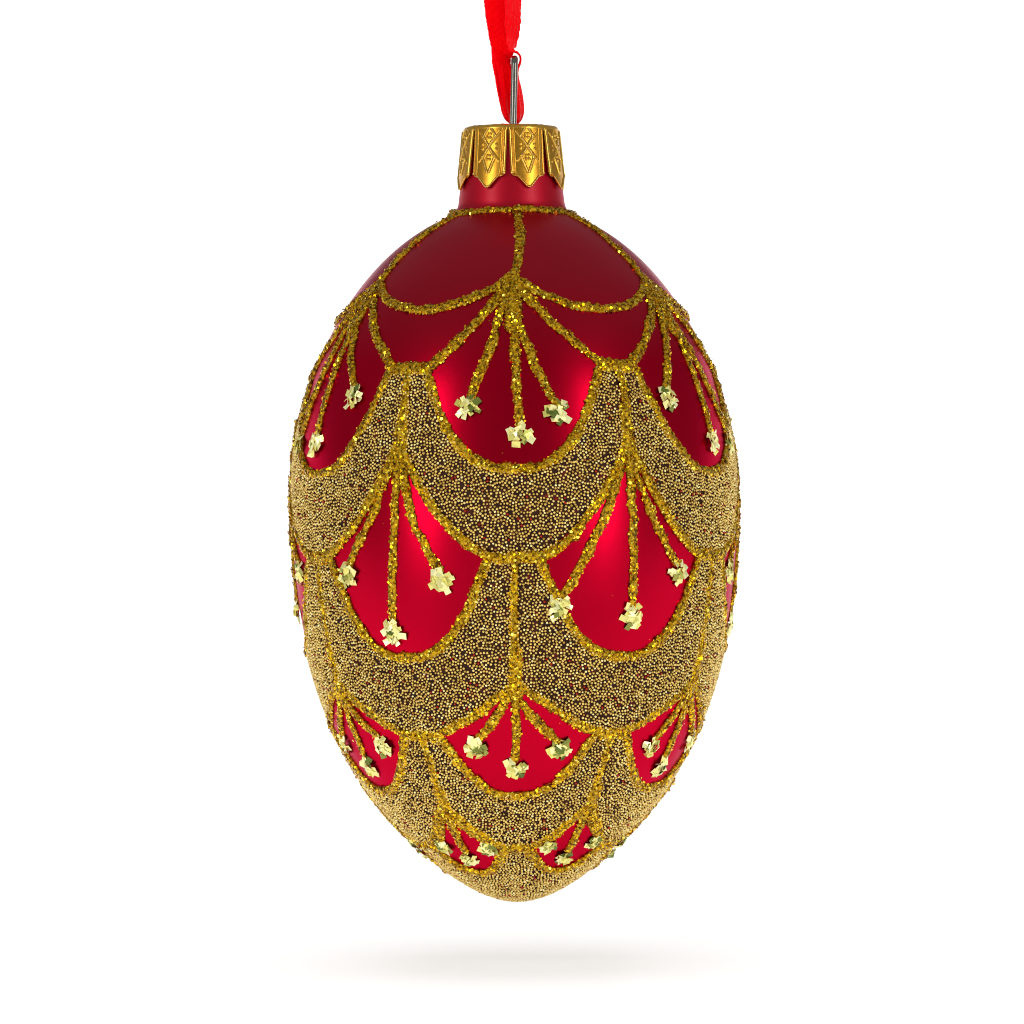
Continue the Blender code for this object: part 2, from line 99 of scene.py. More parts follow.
# Hanger wire
WIRE_RADIUS = 0.000425
LEG_SPACING = 0.0052
LOOP_CORNER = 0.0011
LEG_DEPTH = 0.022
LEG_STRAIGHT = 0.0036
LEG_BEND = 0.0045
LEG_SPRUNG = 0.003975
LEG_TOE_IN = 0.0008
# The hanger stands a little to the right of the egg's axis, and leans further right above the cap
HANGER_SHIFT = 0.0003
HANGER_LEAN = 0.03

# Ribbon
RIBBON_WIDTH = 0.003
RIBBON_THICKNESS = 0.0002
WARP_THREADS = 60
# Heights above the cap: where the creases fade out, the wire's bar, and the crinkled stretch over it
RIBBON_FOOT = 0.012
RIBBON_BAR = 0.0090
RIBBON_PINCH = 0.0122
# Its middle line: metres right of the hanger, metres back, metres above the cap and degrees turned
RIBBON_ROUTE = [
    (-0.00215, 0.00050, 0.01930, 22),
    (-0.00242, 0.00070, 0.01820, 22),
    (-0.00217, 0.00070, 0.01600, 21),
    (-0.00201, 0.00070, 0.01440, 21),
    (-0.00175, 0.00075, 0.01280, 19),
    (-0.00145, 0.00085, 0.01120, 14),
    (-0.00124, 0.00092, 0.01030, 8),
    (-0.00127, 0.00090, 0.00995, 12),
    (-0.00145, 0.00065, 0.00950, 36),
    (-0.00146, 0.00055, 0.00880, 38),
    (-0.00142, 0.00045, 0.00810, 38),
    (-0.00128, 0.00035, 0.00730, 37),
    (-0.00118, 0.00025, 0.00640, 39),
    (-0.00111, 0.00010, 0.00480, 47),
    (-0.00104, 0.00005, 0.00320, 57),
    (-0.00090, 0.00000, 0.00180, 67),
    (-0.00062, 0.00000, 0.00090, 82),
    (0.00000, 0.00000, 0.00055, 90),
    (0.00062, 0.00000, 0.00080, 86),
    (0.00090, 0.00000, 0.00180, 74),
    (0.00088, 0.00000, 0.00300, 71),
    (0.00078, 0.00000, 0.00460, 76),
    (0.00062, -0.00005, 0.00590, 84),
    (0.00055, -0.00010, 0.00680, 90),
    (0.00066, -0.00010, 0.00750, 90),
    (0.00096, -0.00015, 0.00820, 90),
    (0.00100, -0.00020, 0.00887, 90),
    (0.00069, -0.00025, 0.00940, 84),
    (0.00020, -0.00030, 0.00967, 78),
    (-0.00006, -0.00035, 0.01005, 72),
    (-0.00010, -0.00050, 0.01120, 62),
    (0.00003, -0.00065, 0.01280, 54),
    (0.00008, -0.00070, 0.01440, 50),
    (0.00011, -0.00070, 0.01600, 47),
    (0.00012, -0.00070, 0.01820, 44),
    (-0.00030, -0.00050, 0.01930, 44),
]
KNOT_TURNS = 2.4
# Half widths and half thicknesses of the knot's turns and of its tails
KNOT_BAND = (0.0010, 0.00042)
TAIL_BAND = (0.0013, 0.00016)
# A tail: metres right and back of the knot's middle, share of the knot's height, and metres above that
TAIL_ROUTE = [
    (0.0004, 0.0003, 0, -0.0002),
    (0.0006, 0.0005, 0.5, 0),
    (0.0010, 0.0008, 1, -0.0002),
    (0.0024, 0.0012, 1, 0.0016),
    (0.0043, 0.0010, 1, 0.0030),
]

# Decoration: six places a row, each row turned by half a place from the one above
PLACES = 6
PITCH = 2 * math.pi / PLACES
RING_HEIGHT = 0.0379
GARLAND_END = 0.0290
GARLAND_LOW = 0.0247
# Each row's apex, where its two swags meet the neighbours', and the bottom of its red field
FAN_ROWS = {
    "top": (0.0286, 0.0177, 0.0049),
    "upper": (0.0086, -0.0056, -0.0180),
    "lower": (-0.0211, -0.0276, -0.0349),
    "tip": (-0.0365, -0.0420, -0.0453),
}
# How much of the way between two junctions each red field spans; the rest is a saddle of glitter
FIELD_SPAN = {"top": 0.81, "upper": 0.80, "lower": 0.81, "tip": 0.84}
# How each row's swags hang: 1 is straight, 2 a parabola
SWAG_POWER = {"top": 1.1, "upper": 1.9, "lower": 1.5, "tip": 1.7}
SADDLE = {"top": 0.16, "upper": 0.08, "lower": 0.09, "tip": 0.12}
FIELD_POWER = 2.6
# How each row's three strands end: degrees from the apex and height. The places take turns.
STRANDS = {
    "top": [
        ((-12, 0.0127), (1, 0.0098), (12, 0.0122)),
        ((-14, 0.0135), (3, 0.0086), (17, 0.0080)),
        ((-15, 0.0090), (-2, 0.0090), (12, 0.0146)),
    ],
    "upper": [
        ((-19, -0.0116), (1, -0.0132), (16, -0.0076)),
        ((-17, -0.0077), (-2.4, -0.0147), (11, -0.0086)),
    ],
    "lower": [((-12, -0.0294), (-1, -0.0321), (14, -0.0293))],
    "tip": [((-14, -0.0421), (-1, -0.0437), (14, -0.0419))],
}
# How far each apex's filled crown rises over it and reaches under it
CROWN_RISE = {"top": 0.0008, "upper": 0.0044, "lower": 0.0048, "tip": 0.0026}
CROWN_LENGTH = {"top": 0.0068, "upper": 0.0026, "lower": 0.0021, "tip": 0.0012}
# How wide the crown's middle and side lines are, and how far the side lines stand out above and below
CROWN_WIDTH = 0.0018
CROWN_SIDE_WIDTH = 0.0013
CROWN_SPREAD = 0.0006
CROWN_FOOT_SPREAD = 0.0003
# How far the outer strands bow inwards, in degrees
STRAND_BOW = {"top": 0.6, "upper": 2.2, "lower": 1.4, "tip": 1.0}
STRAND_START = 0.0008
STRAND_STOP = 0.0007
FOIL_REACH = {"top": 0.0020, "upper": 0.0020, "lower": 0.0018, "tip": 0.0013}
CHIPS = 17
CHIP_TURN = 2.4
CHIP_SIZE = (0.00034, 0.00056)
CHIP_LIFT = 0.00022
CHIP_PILE = 0.00030
# Glue lines and the glitter on them
LINE_WIDTH = 0.00125
RING_WIDTH = 0.0013
CROWN_LINE_WIDTH = 0.00115
STRAND_WIDTH = 0.00112
DROP_LINE_WIDTH = 0.0011
SADDLE_WIDTH = 0.0015
RING_WAVE = 0.00016
LINE_HEIGHT = 0.00042
LINE_FOOT = 0.00008
LINE_STEP = 0.00022
LINE_WOBBLE = 0.00008
HEIGHT_NOISE = 0.0003
FLAKES_PER_SQUARE_MM = 16
FLAKE_FACING = 1.25
FLAKE_SIZE = (0.00010, 0.00022)
FLAKE_JITTER = 0.00008
STRAY_FLAKES = 90
STRAY_FLAKE_SIZE = (0.00003, 0.00007)
# Beads on their bed of glue
BEAD_RADIUS = 0.00018
BEAD_PITCH = 0.00043
BEAD_ROW_PITCH = 0.9 * BEAD_PITCH
BEAD_BED = 0.0001
BED_FOOT = 0.00005
BEAD_MARGIN = 0.00026
TIP_MARGIN = 0.00035

# Stage
FLOOR_DROP = 0.0582
BACKDROP_ARC = 0.5
# How much the floor glows, by metres back
GLOW = [(-0.12, 0.0), (-0.07, 0.50), (0.15, 0.54), (0.5, 0.68), (1.1, 0.80)]
GLOW_SPAN = (-0.15, 1.35)
# Lights: place from the egg's middle, size, power, and whether the lacquer mirrors it
LIGHTS = [
    ("left_box", (-0.62, -0.6, 0.12), (0.17, 0.8), 2.6, True),
    ("right_box", (0.62, -0.6, 0.12), (0.17, 0.8), 2.6, True),
    ("top_box", (0, 0, 0.8), (0.7, 0.7), 4, False),
    ("front_fill", (0, -1.0, 0.45), (0.8, 0.8), 5, False),
]
WORLD_STRENGTH = 0.29
# Camera: the field is the width it sees at the egg's axis
CAMERA_DISTANCE = 0.59
CAMERA_FIELD = 0.1311
CAMERA_RIGHT = -0.0003
CAMERA_RISE = -0.0002
CAMERA_ROLL = math.radians(0.52)
SENSOR_WIDTH = 36

random = np.random.default_rng(24)


# Arrays to meshes


def new_piece(name, parts, body):
    """A mesh from (points, faces, material, smooth) parts, riding on a body."""
    points = np.concatenate([np.asarray(p, float) for p, _, _, _ in parts])
    corners, slots, smooth, sizes = [], [], [], []
    first = 0
    materials = []
    for part_points, faces, material, is_smooth in parts:
        if material not in materials:
            materials.append(material)
        faces = np.asarray(faces, np.int64)
        corners.append((faces + first).ravel())
        sizes.append(np.full(len(faces), faces.shape[1]))
        slots.append(np.full(len(faces), materials.index(material)))
        smooth.append(np.full(len(faces), is_smooth))
        first += len(part_points)
    corners, sizes = np.concatenate(corners), np.concatenate(sizes)
    starts = np.concatenate([[0], np.cumsum(sizes)[:-1]])
    mesh = bpy.data.meshes.new(name)
    mesh.vertices.add(len(points))
    mesh.vertices.foreach_set("co", points.ravel())
    mesh.loops.add(len(corners))
    mesh.loops.foreach_set("vertex_index", corners)
    mesh.polygons.add(len(sizes))
    mesh.polygons.foreach_set("loop_start", starts)
    mesh.polygons.foreach_set("material_index", np.concatenate(slots))
    mesh.update(calc_edges=True)
    mesh.polygons.foreach_set("use_smooth", np.concatenate(smooth))
    for material in materials:
        mesh.materials.append(material)
    piece = bpy.data.objects.new(name, mesh)
    bpy.context.scene.collection.objects.link(piece)
    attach(piece, body)
    return piece


def more_faces(points, faces, material, smooth):
    """A part that only adds faces to the points of the part before it."""
    return points[:0], np.asarray(faces) - len(points), material, smooth


def grid_faces(rows, columns, closed=False):
    """Faces between rows of points, each row columns long, joined round if closed."""
    across = columns if closed else columns - 1
    row, column = np.meshgrid(np.arange(rows - 1), np.arange(across), indexing="ij")
    beside = (column + 1) % columns
    a, b = row * columns + column, row * columns + beside
    return np.stack([a, a + columns, b + columns, b], -1).reshape(-1, 4)


def band_ends(rows, count):
    """Faces that close both ends of a flat band: each row's count points run over it and back."""
    ends = []
    for base, flip in ((0, False), ((rows - 1) * count, True)):
        for k in range(count // 2 - 1):
            quad = (base + k, base + k + 1, base + count - 2 - k, base + count - 1 - k)
            ends.append(quad[::-1] if flip else quad)
    return np.array(ends)


def scatter(shape, places, axes, sizes):
    """Copies of a (points, faces) shape: axes are three arrays of directions, one row a copy."""
    points, faces = shape
    across, along, out = axes
    sizes = np.asarray(sizes)[:, None, None]
    spread = (
        across[:, None] * points[None, :, 0:1]
        + along[:, None] * points[None, :, 1:2]
        + out[:, None] * points[None, :, 2:3]
    )
    made = places[:, None] + spread * sizes
    offsets = (np.arange(len(places)) * len(points))[:, None, None]
    return made.reshape(-1, 3), (faces[None] + offsets).reshape(-1, faces.shape[1])


def unit(v):
    return v / np.maximum(np.linalg.norm(v, axis=-1, keepdims=True), 1e-12)


def turned_axes(out, angles):
    """Two directions square to each out direction and to each other, turned by angles."""
    helper = np.where(np.abs(out[:, 2:3]) < 0.9, [[0.0, 0.0, 1.0]], [[1.0, 0.0, 0.0]])
    across = unit(np.cross(helper, out))
    along = np.cross(out, across)
    c, s = np.cos(angles)[:, None], np.sin(angles)[:, None]
    return across * c + along * s, along * c - across * s


# The glass surface


def egg_points(turns):
    """(radius, height) on the egg: 90 degrees is the crown, 0 the widest plane, -90 the tip."""
    rise = np.sin(turns)
    pinch = np.where(rise < 0, 1 - TIP_PINCH * np.abs(rise) ** TIP_PINCH_POWER, 1)
    height = np.where(rise < 0, TIP_DEPTH, CROWN_HEIGHT) * rise
    return np.stack([EGG_RADIUS * np.cos(turns) * pinch, height], -1)


def glass_profile(steps):
    """Outer (radius, height) points of the glass, from just under its rim down to the tip."""
    corner_turn = math.acos(NECK_BASE_RADIUS / EGG_RADIUS)
    corner = np.array([NECK_BASE_RADIUS, CROWN_HEIGHT * math.sin(corner_turn)])
    rim = np.array([NECK_RIM_RADIUS, NECK_RIM_HEIGHT - RIM_EDGE])
    above = NECK_FILLET / (rim[1] - corner[1])
    start = corner + (rim - corner) * above
    start_turn = math.acos((NECK_BASE_RADIUS + NECK_FILLET) / EGG_RADIUS)
    end = egg_points(np.array([start_turn]))[0]
    t = np.linspace(0, 1, steps // 10)[:, None]
    neck = rim + (start - rim) * t[:-1]
    fillet = start * (1 - t) ** 2 + corner * 2 * t * (1 - t) + end * t**2
    egg = egg_points(np.linspace(start_turn, -math.pi / 2, steps))[1:]
    return np.concatenate([neck, fillet, egg])


PROFILE = glass_profile(500)
SLOPE = unit(np.gradient(PROFILE, axis=0))
ALONG = np.concatenate([[0], np.cumsum(np.linalg.norm(np.diff(PROFILE, axis=0), axis=1))])


def skin_at(angle, along, lift=0.0):
    """Points lift outside the glass and the outward directions there, by distance down its side."""
    radius, height = (np.interp(along, ALONG, PROFILE[:, k]) for k in (0, 1))
    outward, up = np.interp(along, ALONG, -SLOPE[:, 1]), np.interp(along, ALONG, SLOPE[:, 0])
    c, s = np.cos(angle), np.sin(angle)
    out = np.stack([outward * s, -outward * c, up * np.ones_like(s)], -1)
    place = np.stack([radius * s, -radius * c, height + EGG_Z + 0 * s], -1)
    return place + out * np.asarray(lift)[..., None], out


def down_side(height):
    """How far down the glass's side each height is."""
    return np.interp(-np.asarray(height, float), -PROFILE[:, 1], ALONG)


# Paths on the glass: arrays of angles and of distances down its side


def hang(low, high, across, power, flat=0.0, span=1.0):
    """Height of a swag, across running from -1 to 1: level in its middle, then up to its ends."""
    share = np.clip((np.abs(across) - flat) / (span - flat), 0, 1)
    return low + (high - low) * share**power


def garland_path(middle, low, high, power, flat=0.0):
    """A swag one place wide that hangs from high to low."""
    across = np.linspace(-1, 1, 80)
    return middle + across * PITCH / 2, down_side(hang(low, high, across, power, flat))


def field_path(middle, low, high, span):
    """The rim of a red field: a deep U between two junctions."""
    t = np.linspace(-1, 1, 90)
    across = np.sign(t) * (1 - (1 - np.abs(t)) ** 1.5) * span
    return middle + across * PITCH / 2, down_side(hang(low, high, across, FIELD_POWER, 0, span))


def straight_path(angle, height, end_angle, end_height, bow=0.0):
    """A line on the glass that bows sideways by an angle in its middle."""
    t = np.linspace(0, 1, 40)
    sideways = bow * np.sin(math.pi * t)
    return angle + (end_angle - angle) * t + sideways, down_side(height + (end_height - height) * t)


def smooth_noise(count, every, size):
    """A random line that wanders by about size, with a turn every so many points."""
    knots = random.normal(0, size, count // every + 3)
    return np.interp(np.arange(count) / every, np.arange(len(knots)), knots)


# Shapes that are scattered


def dome_shape(sides=7):
    """A closed bead, round above and nearly flat below."""
    turns = np.arange(sides) * 2 * math.pi / sides
    rings = []
    for number, (radius, height) in enumerate([(0.55, 0.83), (0.93, 0.36), (0.95, -0.3)]):
        shifted = turns + number * math.pi / sides
        rings.append(np.stack([radius * np.cos(shifted), radius * np.sin(shifted), 0 * turns + height], -1))
    points = np.concatenate([[[0, 0, 1.0]], *rings, [[0, 0, -0.6]]])
    faces = []
    last = len(points) - 1
    for side in range(sides):
        beside = (side + 1) % sides
        faces.append((0, 1 + side, 1 + beside))
        for ring in (0, 1):
            low, high = 1 + (ring + 1) * sides, 1 + ring * sides
            faces.append((high + side, low + side, high + beside))
            faces.append((low + side, low + beside, high + beside))
        faces.append((1 + 2 * sides + side, last, 1 + 2 * sides + beside))
    return points, np.array(faces)


def flake_shape(sides=5):
    """A flat glitter flake, closed by a shallow point beneath it."""
    turns = np.arange(sides) * 2 * math.pi / sides
    points = np.stack([np.cos(turns), np.sin(turns), 0 * turns], -1)
    points = np.concatenate([points, [[0, 0, -0.35]]])
    faces = [(0, k, k + 1) for k in range(1, sides - 1)]
    faces += [((k + 1) % sides, k, sides) for k in range(sides)]
    return points, np.array(faces)


def chip_shape():
    """A thin square foil chip with one corner curled."""
    corners = np.array([[-1, -0.8], [1, -0.8], [1, 0.8], [-1, 0.8]], float)
    top = np.column_stack([corners, [0.06, 0.06, 0.3, 0.06]])
    bottom = np.column_stack([corners, [0, 0, 0.22, 0]])
    points = np.concatenate([top, bottom])
    faces = [(0, 1, 2), (0, 2, 3), (4, 6, 5), (4, 7, 6)]
    for k in range(4):
        n = (k + 1) % 4
        faces += [(k, k + 4, n + 4), (k, n + 4, n)]
    return points, np.array(faces)


# Materials


def new_material(name, roughness, metallic):
    material = bpy.data.materials.new(name)
    material.use_nodes = True
    tree = material.node_tree
    shader = tree.nodes["Principled BSDF"]
    shader.inputs["Roughness"].default_value = roughness
    shader.inputs["Metallic"].default_value = metallic
    return material, tree, shader


def paint(tree, shader, value, stops, into="Base Color"):
    """Colours a shader by a value: stops are (place, (r, g, b))."""
    node = tree.nodes.new("ShaderNodeValToRGB")
    elements = node.color_ramp.elements
    while len(elements) < len(stops):
        elements.new(0.5)
    for element, (place, colour) in zip(elements, stops):
        element.position = place
        element.color = (*colour, 1)
    tree.links.new(value, node.inputs["Fac"])
    tree.links.new(node.outputs["Color"], shader.inputs[into])


def spread(tree, value, span, ends=(0, 1)):
    """Runs from one end to the other as a value crosses its span."""
    node = tree.nodes.new("ShaderNodeMapRange")
    for name, number in zip(("From Min", "From Max", "To Min", "To Max"), (*span, *ends)):
        node.inputs[name].default_value = number
    tree.links.new(value, node.inputs["Value"])
    return node.outputs["Result"]


def roughen(tree, shader, value, low, high):
    tree.links.new(spread(tree, value, (0, 1), (low, high)), shader.inputs["Roughness"])


def add_bump(tree, shader, height, strength, distance):
    bump = tree.nodes.new("ShaderNodeBump")
    bump.inputs["Strength"].default_value = strength
    bump.inputs["Distance"].default_value = distance
    tree.links.new(height, bump.inputs["Height"])
    tree.links.new(bump.outputs["Normal"], shader.inputs["Normal"])


def noise_value(tree, scale, detail=3.0, stretch=(1, 1, 1)):
    place = tree.nodes.new("ShaderNodeTexCoord")
    mapping = tree.nodes.new("ShaderNodeMapping")
    mapping.inputs["Scale"].default_value = stretch
    texture = tree.nodes.new("ShaderNodeTexNoise")
    texture.inputs["Scale"].default_value = scale
    texture.inputs["Detail"].default_value = detail
    tree.links.new(place.outputs["Object"], mapping.inputs["Vector"])
    tree.links.new(mapping.outputs["Vector"], texture.inputs["Vector"])
    return texture.outputs["Fac"]


def axis_value(tree, axis):
    """Where a point of the object lies along an axis, in metres."""
    place = tree.nodes.new("ShaderNodeTexCoord")
    axes = tree.nodes.new("ShaderNodeSeparateXYZ")
    tree.links.new(place.outputs["Object"], axes.inputs["Vector"])
    return axes.outputs[axis]


def island_value(tree):
    """A random value for each separate chip, bead or flake."""
    return tree.nodes.new("ShaderNodeNewGeometry").outputs["Random Per Island"]


def attribute_value(tree, name):
    node = tree.nodes.new("ShaderNodeAttribute")
    node.attribute_name = name
    return node.outputs["Fac"]


def lacquer():
    """Satin red lacquer over a silvered glass, rougher and hazier towards the neck."""
    material, tree, shader = new_material("red_lacquer", 0.3, 1.0)
    paint(tree, shader, noise_value(tree, 60, 4), [(0.3, (0.51, 0.0, 0.017)), (0.7, (0.59, 0.0, 0.022))])
    height = axis_value(tree, "Z")
    neck = spread(tree, height, (EGG_Z + 0.030, EGG_Z + 0.040), (0.30, 0.55))
    tree.links.new(neck, shader.inputs["Roughness"])
    haze = spread(tree, height, (EGG_Z + 0.018, EGG_Z + 0.030), (0.03, 0.4))
    tree.links.new(haze, shader.inputs["Coat Weight"])
    shader.inputs["Coat Roughness"].default_value = 0.35
    shader.inputs["Specular Tint"].default_value = (0.85, 0.5, 0.6, 1)
    add_bump(tree, shader, noise_value(tree, 900, 2), 0.05, 0.0001)
    return material


def silvering():
    """The inside of the glass."""
    material, tree, shader = new_material("silvering", 0.3, 0.9)
    paint(tree, shader, noise_value(tree, 90), [(0.3, (0.45, 0.43, 0.42)), (0.7, (0.62, 0.6, 0.58))])
    return material


def bead_gold():
    """Gold-coated beads, a few of them red."""
    material, tree, shader = new_material("bead_gold", 0.2, 0.6)
    paint(tree, shader, island_value(tree), [
        (0.0, (0.40, 0.02, 0.01)),
        (0.012, (0.40, 0.02, 0.01)),
        (0.02, (0.48, 0.29, 0.055)),
        (0.4, (0.76, 0.51, 0.125)),
        (0.85, (0.92, 0.68, 0.20)),
        (1.0, (1.0, 0.88, 0.42)),
    ])
    roughen(tree, shader, noise_value(tree, 1500), 0.08, 0.22)
    return material


def bead_bed_painted_shade():
    """The glue under the beads, nearly black: painted shade between the beads, with a few dark red spots."""
    material, tree, shader = new_material("bead_bed_painted_shade", 0.7, 0.0)
    # Painted shade: the nearly black glue stands for the shade between the packed beads
    paint(tree, shader, noise_value(tree, 900), [
        (0.35, (0.018, 0.004, 0.002)),
        (0.6, (0.040, 0.013, 0.004)),
        (0.72, (0.11, 0.006, 0.006)),
    ])
    shader.inputs["Specular IOR Level"].default_value = 0.2
    add_bump(tree, shader, noise_value(tree, 2500), 0.4, 0.0001)
    return material


def glue_gold():
    """Gold-tinted glue under the glitter."""
    material, tree, shader = new_material("glitter_glue", 0.4, 0.8)
    paint(tree, shader, noise_value(tree, 2600), [(0.38, (0.10, 0.045, 0.001)), (0.58, (0.66, 0.38, 0.010))])
    add_bump(tree, shader, noise_value(tree, 4000), 0.8, 0.0002)
    return material


def flake_gold():
    material, tree, shader = new_material("glitter_flake", 0.2, 1.0)
    island = island_value(tree)
    paint(tree, shader, island, [
        (0.0, (0.20, 0.08, 0.001)),
        (0.3, (0.80, 0.43, 0.006)),
        (0.7, (1.0, 0.63, 0.014)),
        (1.0, (1.0, 0.86, 0.13)),
    ])
    roughen(tree, shader, island, 0.10, 0.28)
    return material


def foil():
    material, tree, shader = new_material("foil", 0.28, 0.6)
    paint(tree, shader, island_value(tree), [
        (0.0, (0.10, 0.15, 0.02)),
        (0.14, (0.34, 0.34, 0.06)),
        (0.3, (0.88, 0.80, 0.20)),
        (1.0, (1.0, 0.97, 0.50)),
    ])
    add_bump(tree, shader, noise_value(tree, 1800), 0.4, 0.0001)
    return material


def stamped_gold_painted_shade():
    """Gold-coloured sheet with painted shade in the low parts of its stamping and painted light on its
    raised parts.
    """
    material, tree, shader = new_material("stamped_gold_painted_shade", 0.26, 1.0)
    # Painted shade and light: the colour runs from dark in the stamping's low parts to bright on its raised
    # parts
    paint(tree, shader, attribute_value(tree, "relief"), [
        (0.0, (0.36, 0.14, 0.008)),
        (0.3, (0.68, 0.34, 0.035)),
        (0.7, (0.90, 0.52, 0.085)),
        (1.0, (1.0, 0.70, 0.18)),
    ])
    roughen(tree, shader, noise_value(tree, 1400), 0.22, 0.36)
    add_bump(tree, shader, noise_value(tree, 1200), 0.12, 0.0001)
    return material


def bright_steel():
    material, tree, shader = new_material("bright_steel", 0.2, 1.0)
    drawn = noise_value(tree, 900, 3, (1, 1, 0.05))
    paint(tree, shader, drawn, [(0.3, (0.20, 0.19, 0.16)), (0.7, (0.33, 0.32, 0.28))])
    roughen(tree, shader, drawn, 0.16, 0.28)
    return material


def satin():
    """Red satin: fine warp threads along the ribbon, with a soft sheen."""
    material, tree, shader = new_material("red_satin", 0.42, 0.0)
    scaled = tree.nodes.new("ShaderNodeMath")
    scaled.operation = "MULTIPLY"
    scaled.inputs[1].default_value = WARP_THREADS
    threads = tree.nodes.new("ShaderNodeMath")
    threads.operation = "SINE"
    tree.links.new(attribute_value(tree, "across"), scaled.inputs[0])
    tree.links.new(scaled.outputs[0], threads.inputs[0])
    streak = noise_value(tree, 1200, 3, (1, 1, 0.1))
    stops = [(0.3, (0.84, 0.0, 0.006)), (0.5, (0.93, 0.0, 0.005)), (0.75, (1.0, 0.001, 0.003))]
    paint(tree, shader, streak, stops)
    roughen(tree, shader, streak, 0.3, 0.48)
    shader.inputs["Specular IOR Level"].default_value = 0.15
    shader.inputs["Specular Tint"].default_value = (1.0, 0.2, 0.1, 1)
    add_bump(tree, shader, threads.outputs[0], 0.25, 0.00006)
    return material


# Pieces


def make_glass(outside, inside):
    """The blown shell: lacquered outside, silvered inside, with a rounded rim."""
    outer = glass_profile(180)
    slope = unit(np.gradient(outer, axis=0))
    inner = outer + np.stack([slope[:, 1], -slope[:, 0]], -1) * GLASS_WALL
    turns = np.linspace(0, math.pi, 9)[1:-1]
    rim = np.stack([
        NECK_RIM_RADIUS - (1 + np.cos(turns)) * GLASS_WALL / 2,
        NECK_RIM_HEIGHT - RIM_EDGE + np.sin(turns) * RIM_EDGE,
    ], -1)
    steps = 192
    angles = np.arange(steps) * 2 * math.pi / steps
    whole = np.concatenate([inner[:-1][::-1], rim, outer[:-1]])
    radius, height = whole[:, 0:1], whole[:, 1:2]
    rows = np.stack([radius * np.sin(angles), -radius * np.cos(angles), height + EGG_Z + 0 * angles], -1)
    points = rows.reshape(-1, 3)
    faces = grid_faces(len(whole), steps, closed=True)
    first, ring = np.full(steps, len(points)), np.arange(steps)
    inner_tip = np.stack([first, ring, (ring + 1) % steps], -1)
    last_row = (len(whole) - 1) * steps
    outer_tip = np.stack([last_row + ring, first + 1, last_row + (ring + 1) % steps], -1)
    tips = [[0, 0, EGG_Z + GLASS_WALL - TIP_DEPTH], [0, 0, EGG_Z - TIP_DEPTH]]
    points = np.concatenate([points, tips])
    split = (len(inner) - 1) * steps
    parts = [
        (points, faces[split:], outside, True),
        more_faces(points, faces[:split], inside, True),
        more_faces(points, outer_tip, outside, True),
        more_faces(points, inner_tip, inside, True),
    ]
    piece = new_piece("egg_shell", parts, "glass")
    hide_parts("glass_egg")


def ridge(path, width, height):
    """A glue line on the glass. Returns its points and faces, and where glitter sticks to it."""
    angle, along = path
    rough, _ = skin_at(angle, along)
    length = np.concatenate([[0], np.cumsum(np.linalg.norm(np.diff(rough, axis=0), axis=1))])
    count = max(int(length[-1] / LINE_STEP), 6)
    even = np.linspace(0, length[-1], count)
    angle, along = np.interp(even, length, angle), np.interp(even, length, along)
    place, out = skin_at(angle, along)
    forward = unit(np.gradient(place, axis=0))
    side = unit(np.cross(forward, out))
    place = place + side * smooth_noise(count, 9, LINE_WOBBLE)[:, None]
    widths = width * (1 + smooth_noise(count, 5, 0.14))
    heights = height * (1 + smooth_noise(count, 4, 0.18))
    ends = np.clip(np.minimum(even, length[-1] - even) / (width * 0.5), 0, 1)
    taper = np.sqrt(1 - (1 - ends) ** 2) * 0.9 + 0.1
    widths, heights = widths * taper, heights * taper
    turns = np.linspace(0, math.pi, 7)
    ring = [side * (np.cos(t) * widths / 2)[:, None] + out * (np.sin(t) * heights)[:, None] for t in turns]
    for edge in (0, -1):
        ring[edge] = ring[edge] - out * LINE_FOOT / 2
    for way in (-1, 1):
        ring.append(way * side * (widths * 0.3)[:, None] - out * LINE_FOOT)
    points = place[:, None] + np.stack(ring, 1)
    points = (points + random.normal(0, height * 0.09, points.shape)).reshape(-1, 3)
    sides = len(ring)
    faces = grid_faces(count, sides, closed=True)
    caps = [list(range(sides)), [(count - 1) * sides + k for k in reversed(range(sides))]]
    fans = [(c[0], c[k], c[k + 1]) for c in caps for k in range(1, sides - 1)]
    spots = (place, out, side, widths, heights, length[-1])
    return points, faces, fans, spots


def stick_flakes(spots):
    """Glitter flakes over a glue line."""
    place, out, side, widths, heights, length = spots
    count = int(FLAKES_PER_SQUARE_MM * length * widths.mean() * 1e6 * FLAKE_FACING)
    at = random.integers(0, len(place), count)
    turn = random.uniform(0.12, 0.88, count) * math.pi
    jitter = random.normal(0, FLAKE_JITTER, (count, 3))
    c, s = np.cos(turn)[:, None], np.sin(turn)[:, None]
    centre = place[at] + side[at] * c * widths[at][:, None] / 2 + out[at] * s * heights[at][:, None] * 0.94
    facing = unit(side[at] * c * 0.7 + out[at] * (s + 0.25) + random.normal(0, 0.38, (count, 3)))
    across, forward = turned_axes(facing, random.uniform(0, 2 * math.pi, count))
    sizes = random.uniform(*FLAKE_SIZE, count)
    return scatter(flake_shape(), centre + jitter, (across, forward, facing), sizes)


def glitter_parts(paths, glue, flakes):
    """Glue lines along (path, width) pairs, with their flakes."""
    parts = []
    for path, width in paths:
        points, faces, fans, spots = ridge(path, width, LINE_HEIGHT * (width / LINE_WIDTH) ** 0.5)
        parts.append((points, faces, glue, True))
        parts.append(more_faces(points, fans, glue, True))
        parts.append((*stick_flakes(spots), flakes, False))
    return parts


def ring_radius(height):
    """How far the glass is from the egg's axis at a height."""
    return float(np.interp(down_side(height), ALONG, PROFILE[:, 0]))


def place_middle(row, place):
    return PITCH * (place + 0.5 * (row % 2))


def stray_flakes(flakes):
    """Single small flakes that stuck to the lacquer."""
    angle = random.uniform(0, 2 * math.pi, STRAY_FLAKES)
    place, out = skin_at(angle, random.uniform(0.2, 0.8, STRAY_FLAKES) * ALONG[-1], 0.00003)
    across, along = turned_axes(out, angle)
    sizes = random.uniform(*STRAY_FLAKE_SIZE, STRAY_FLAKES)
    return (*scatter(flake_shape(), place, (across, along, out), sizes), flakes, False)


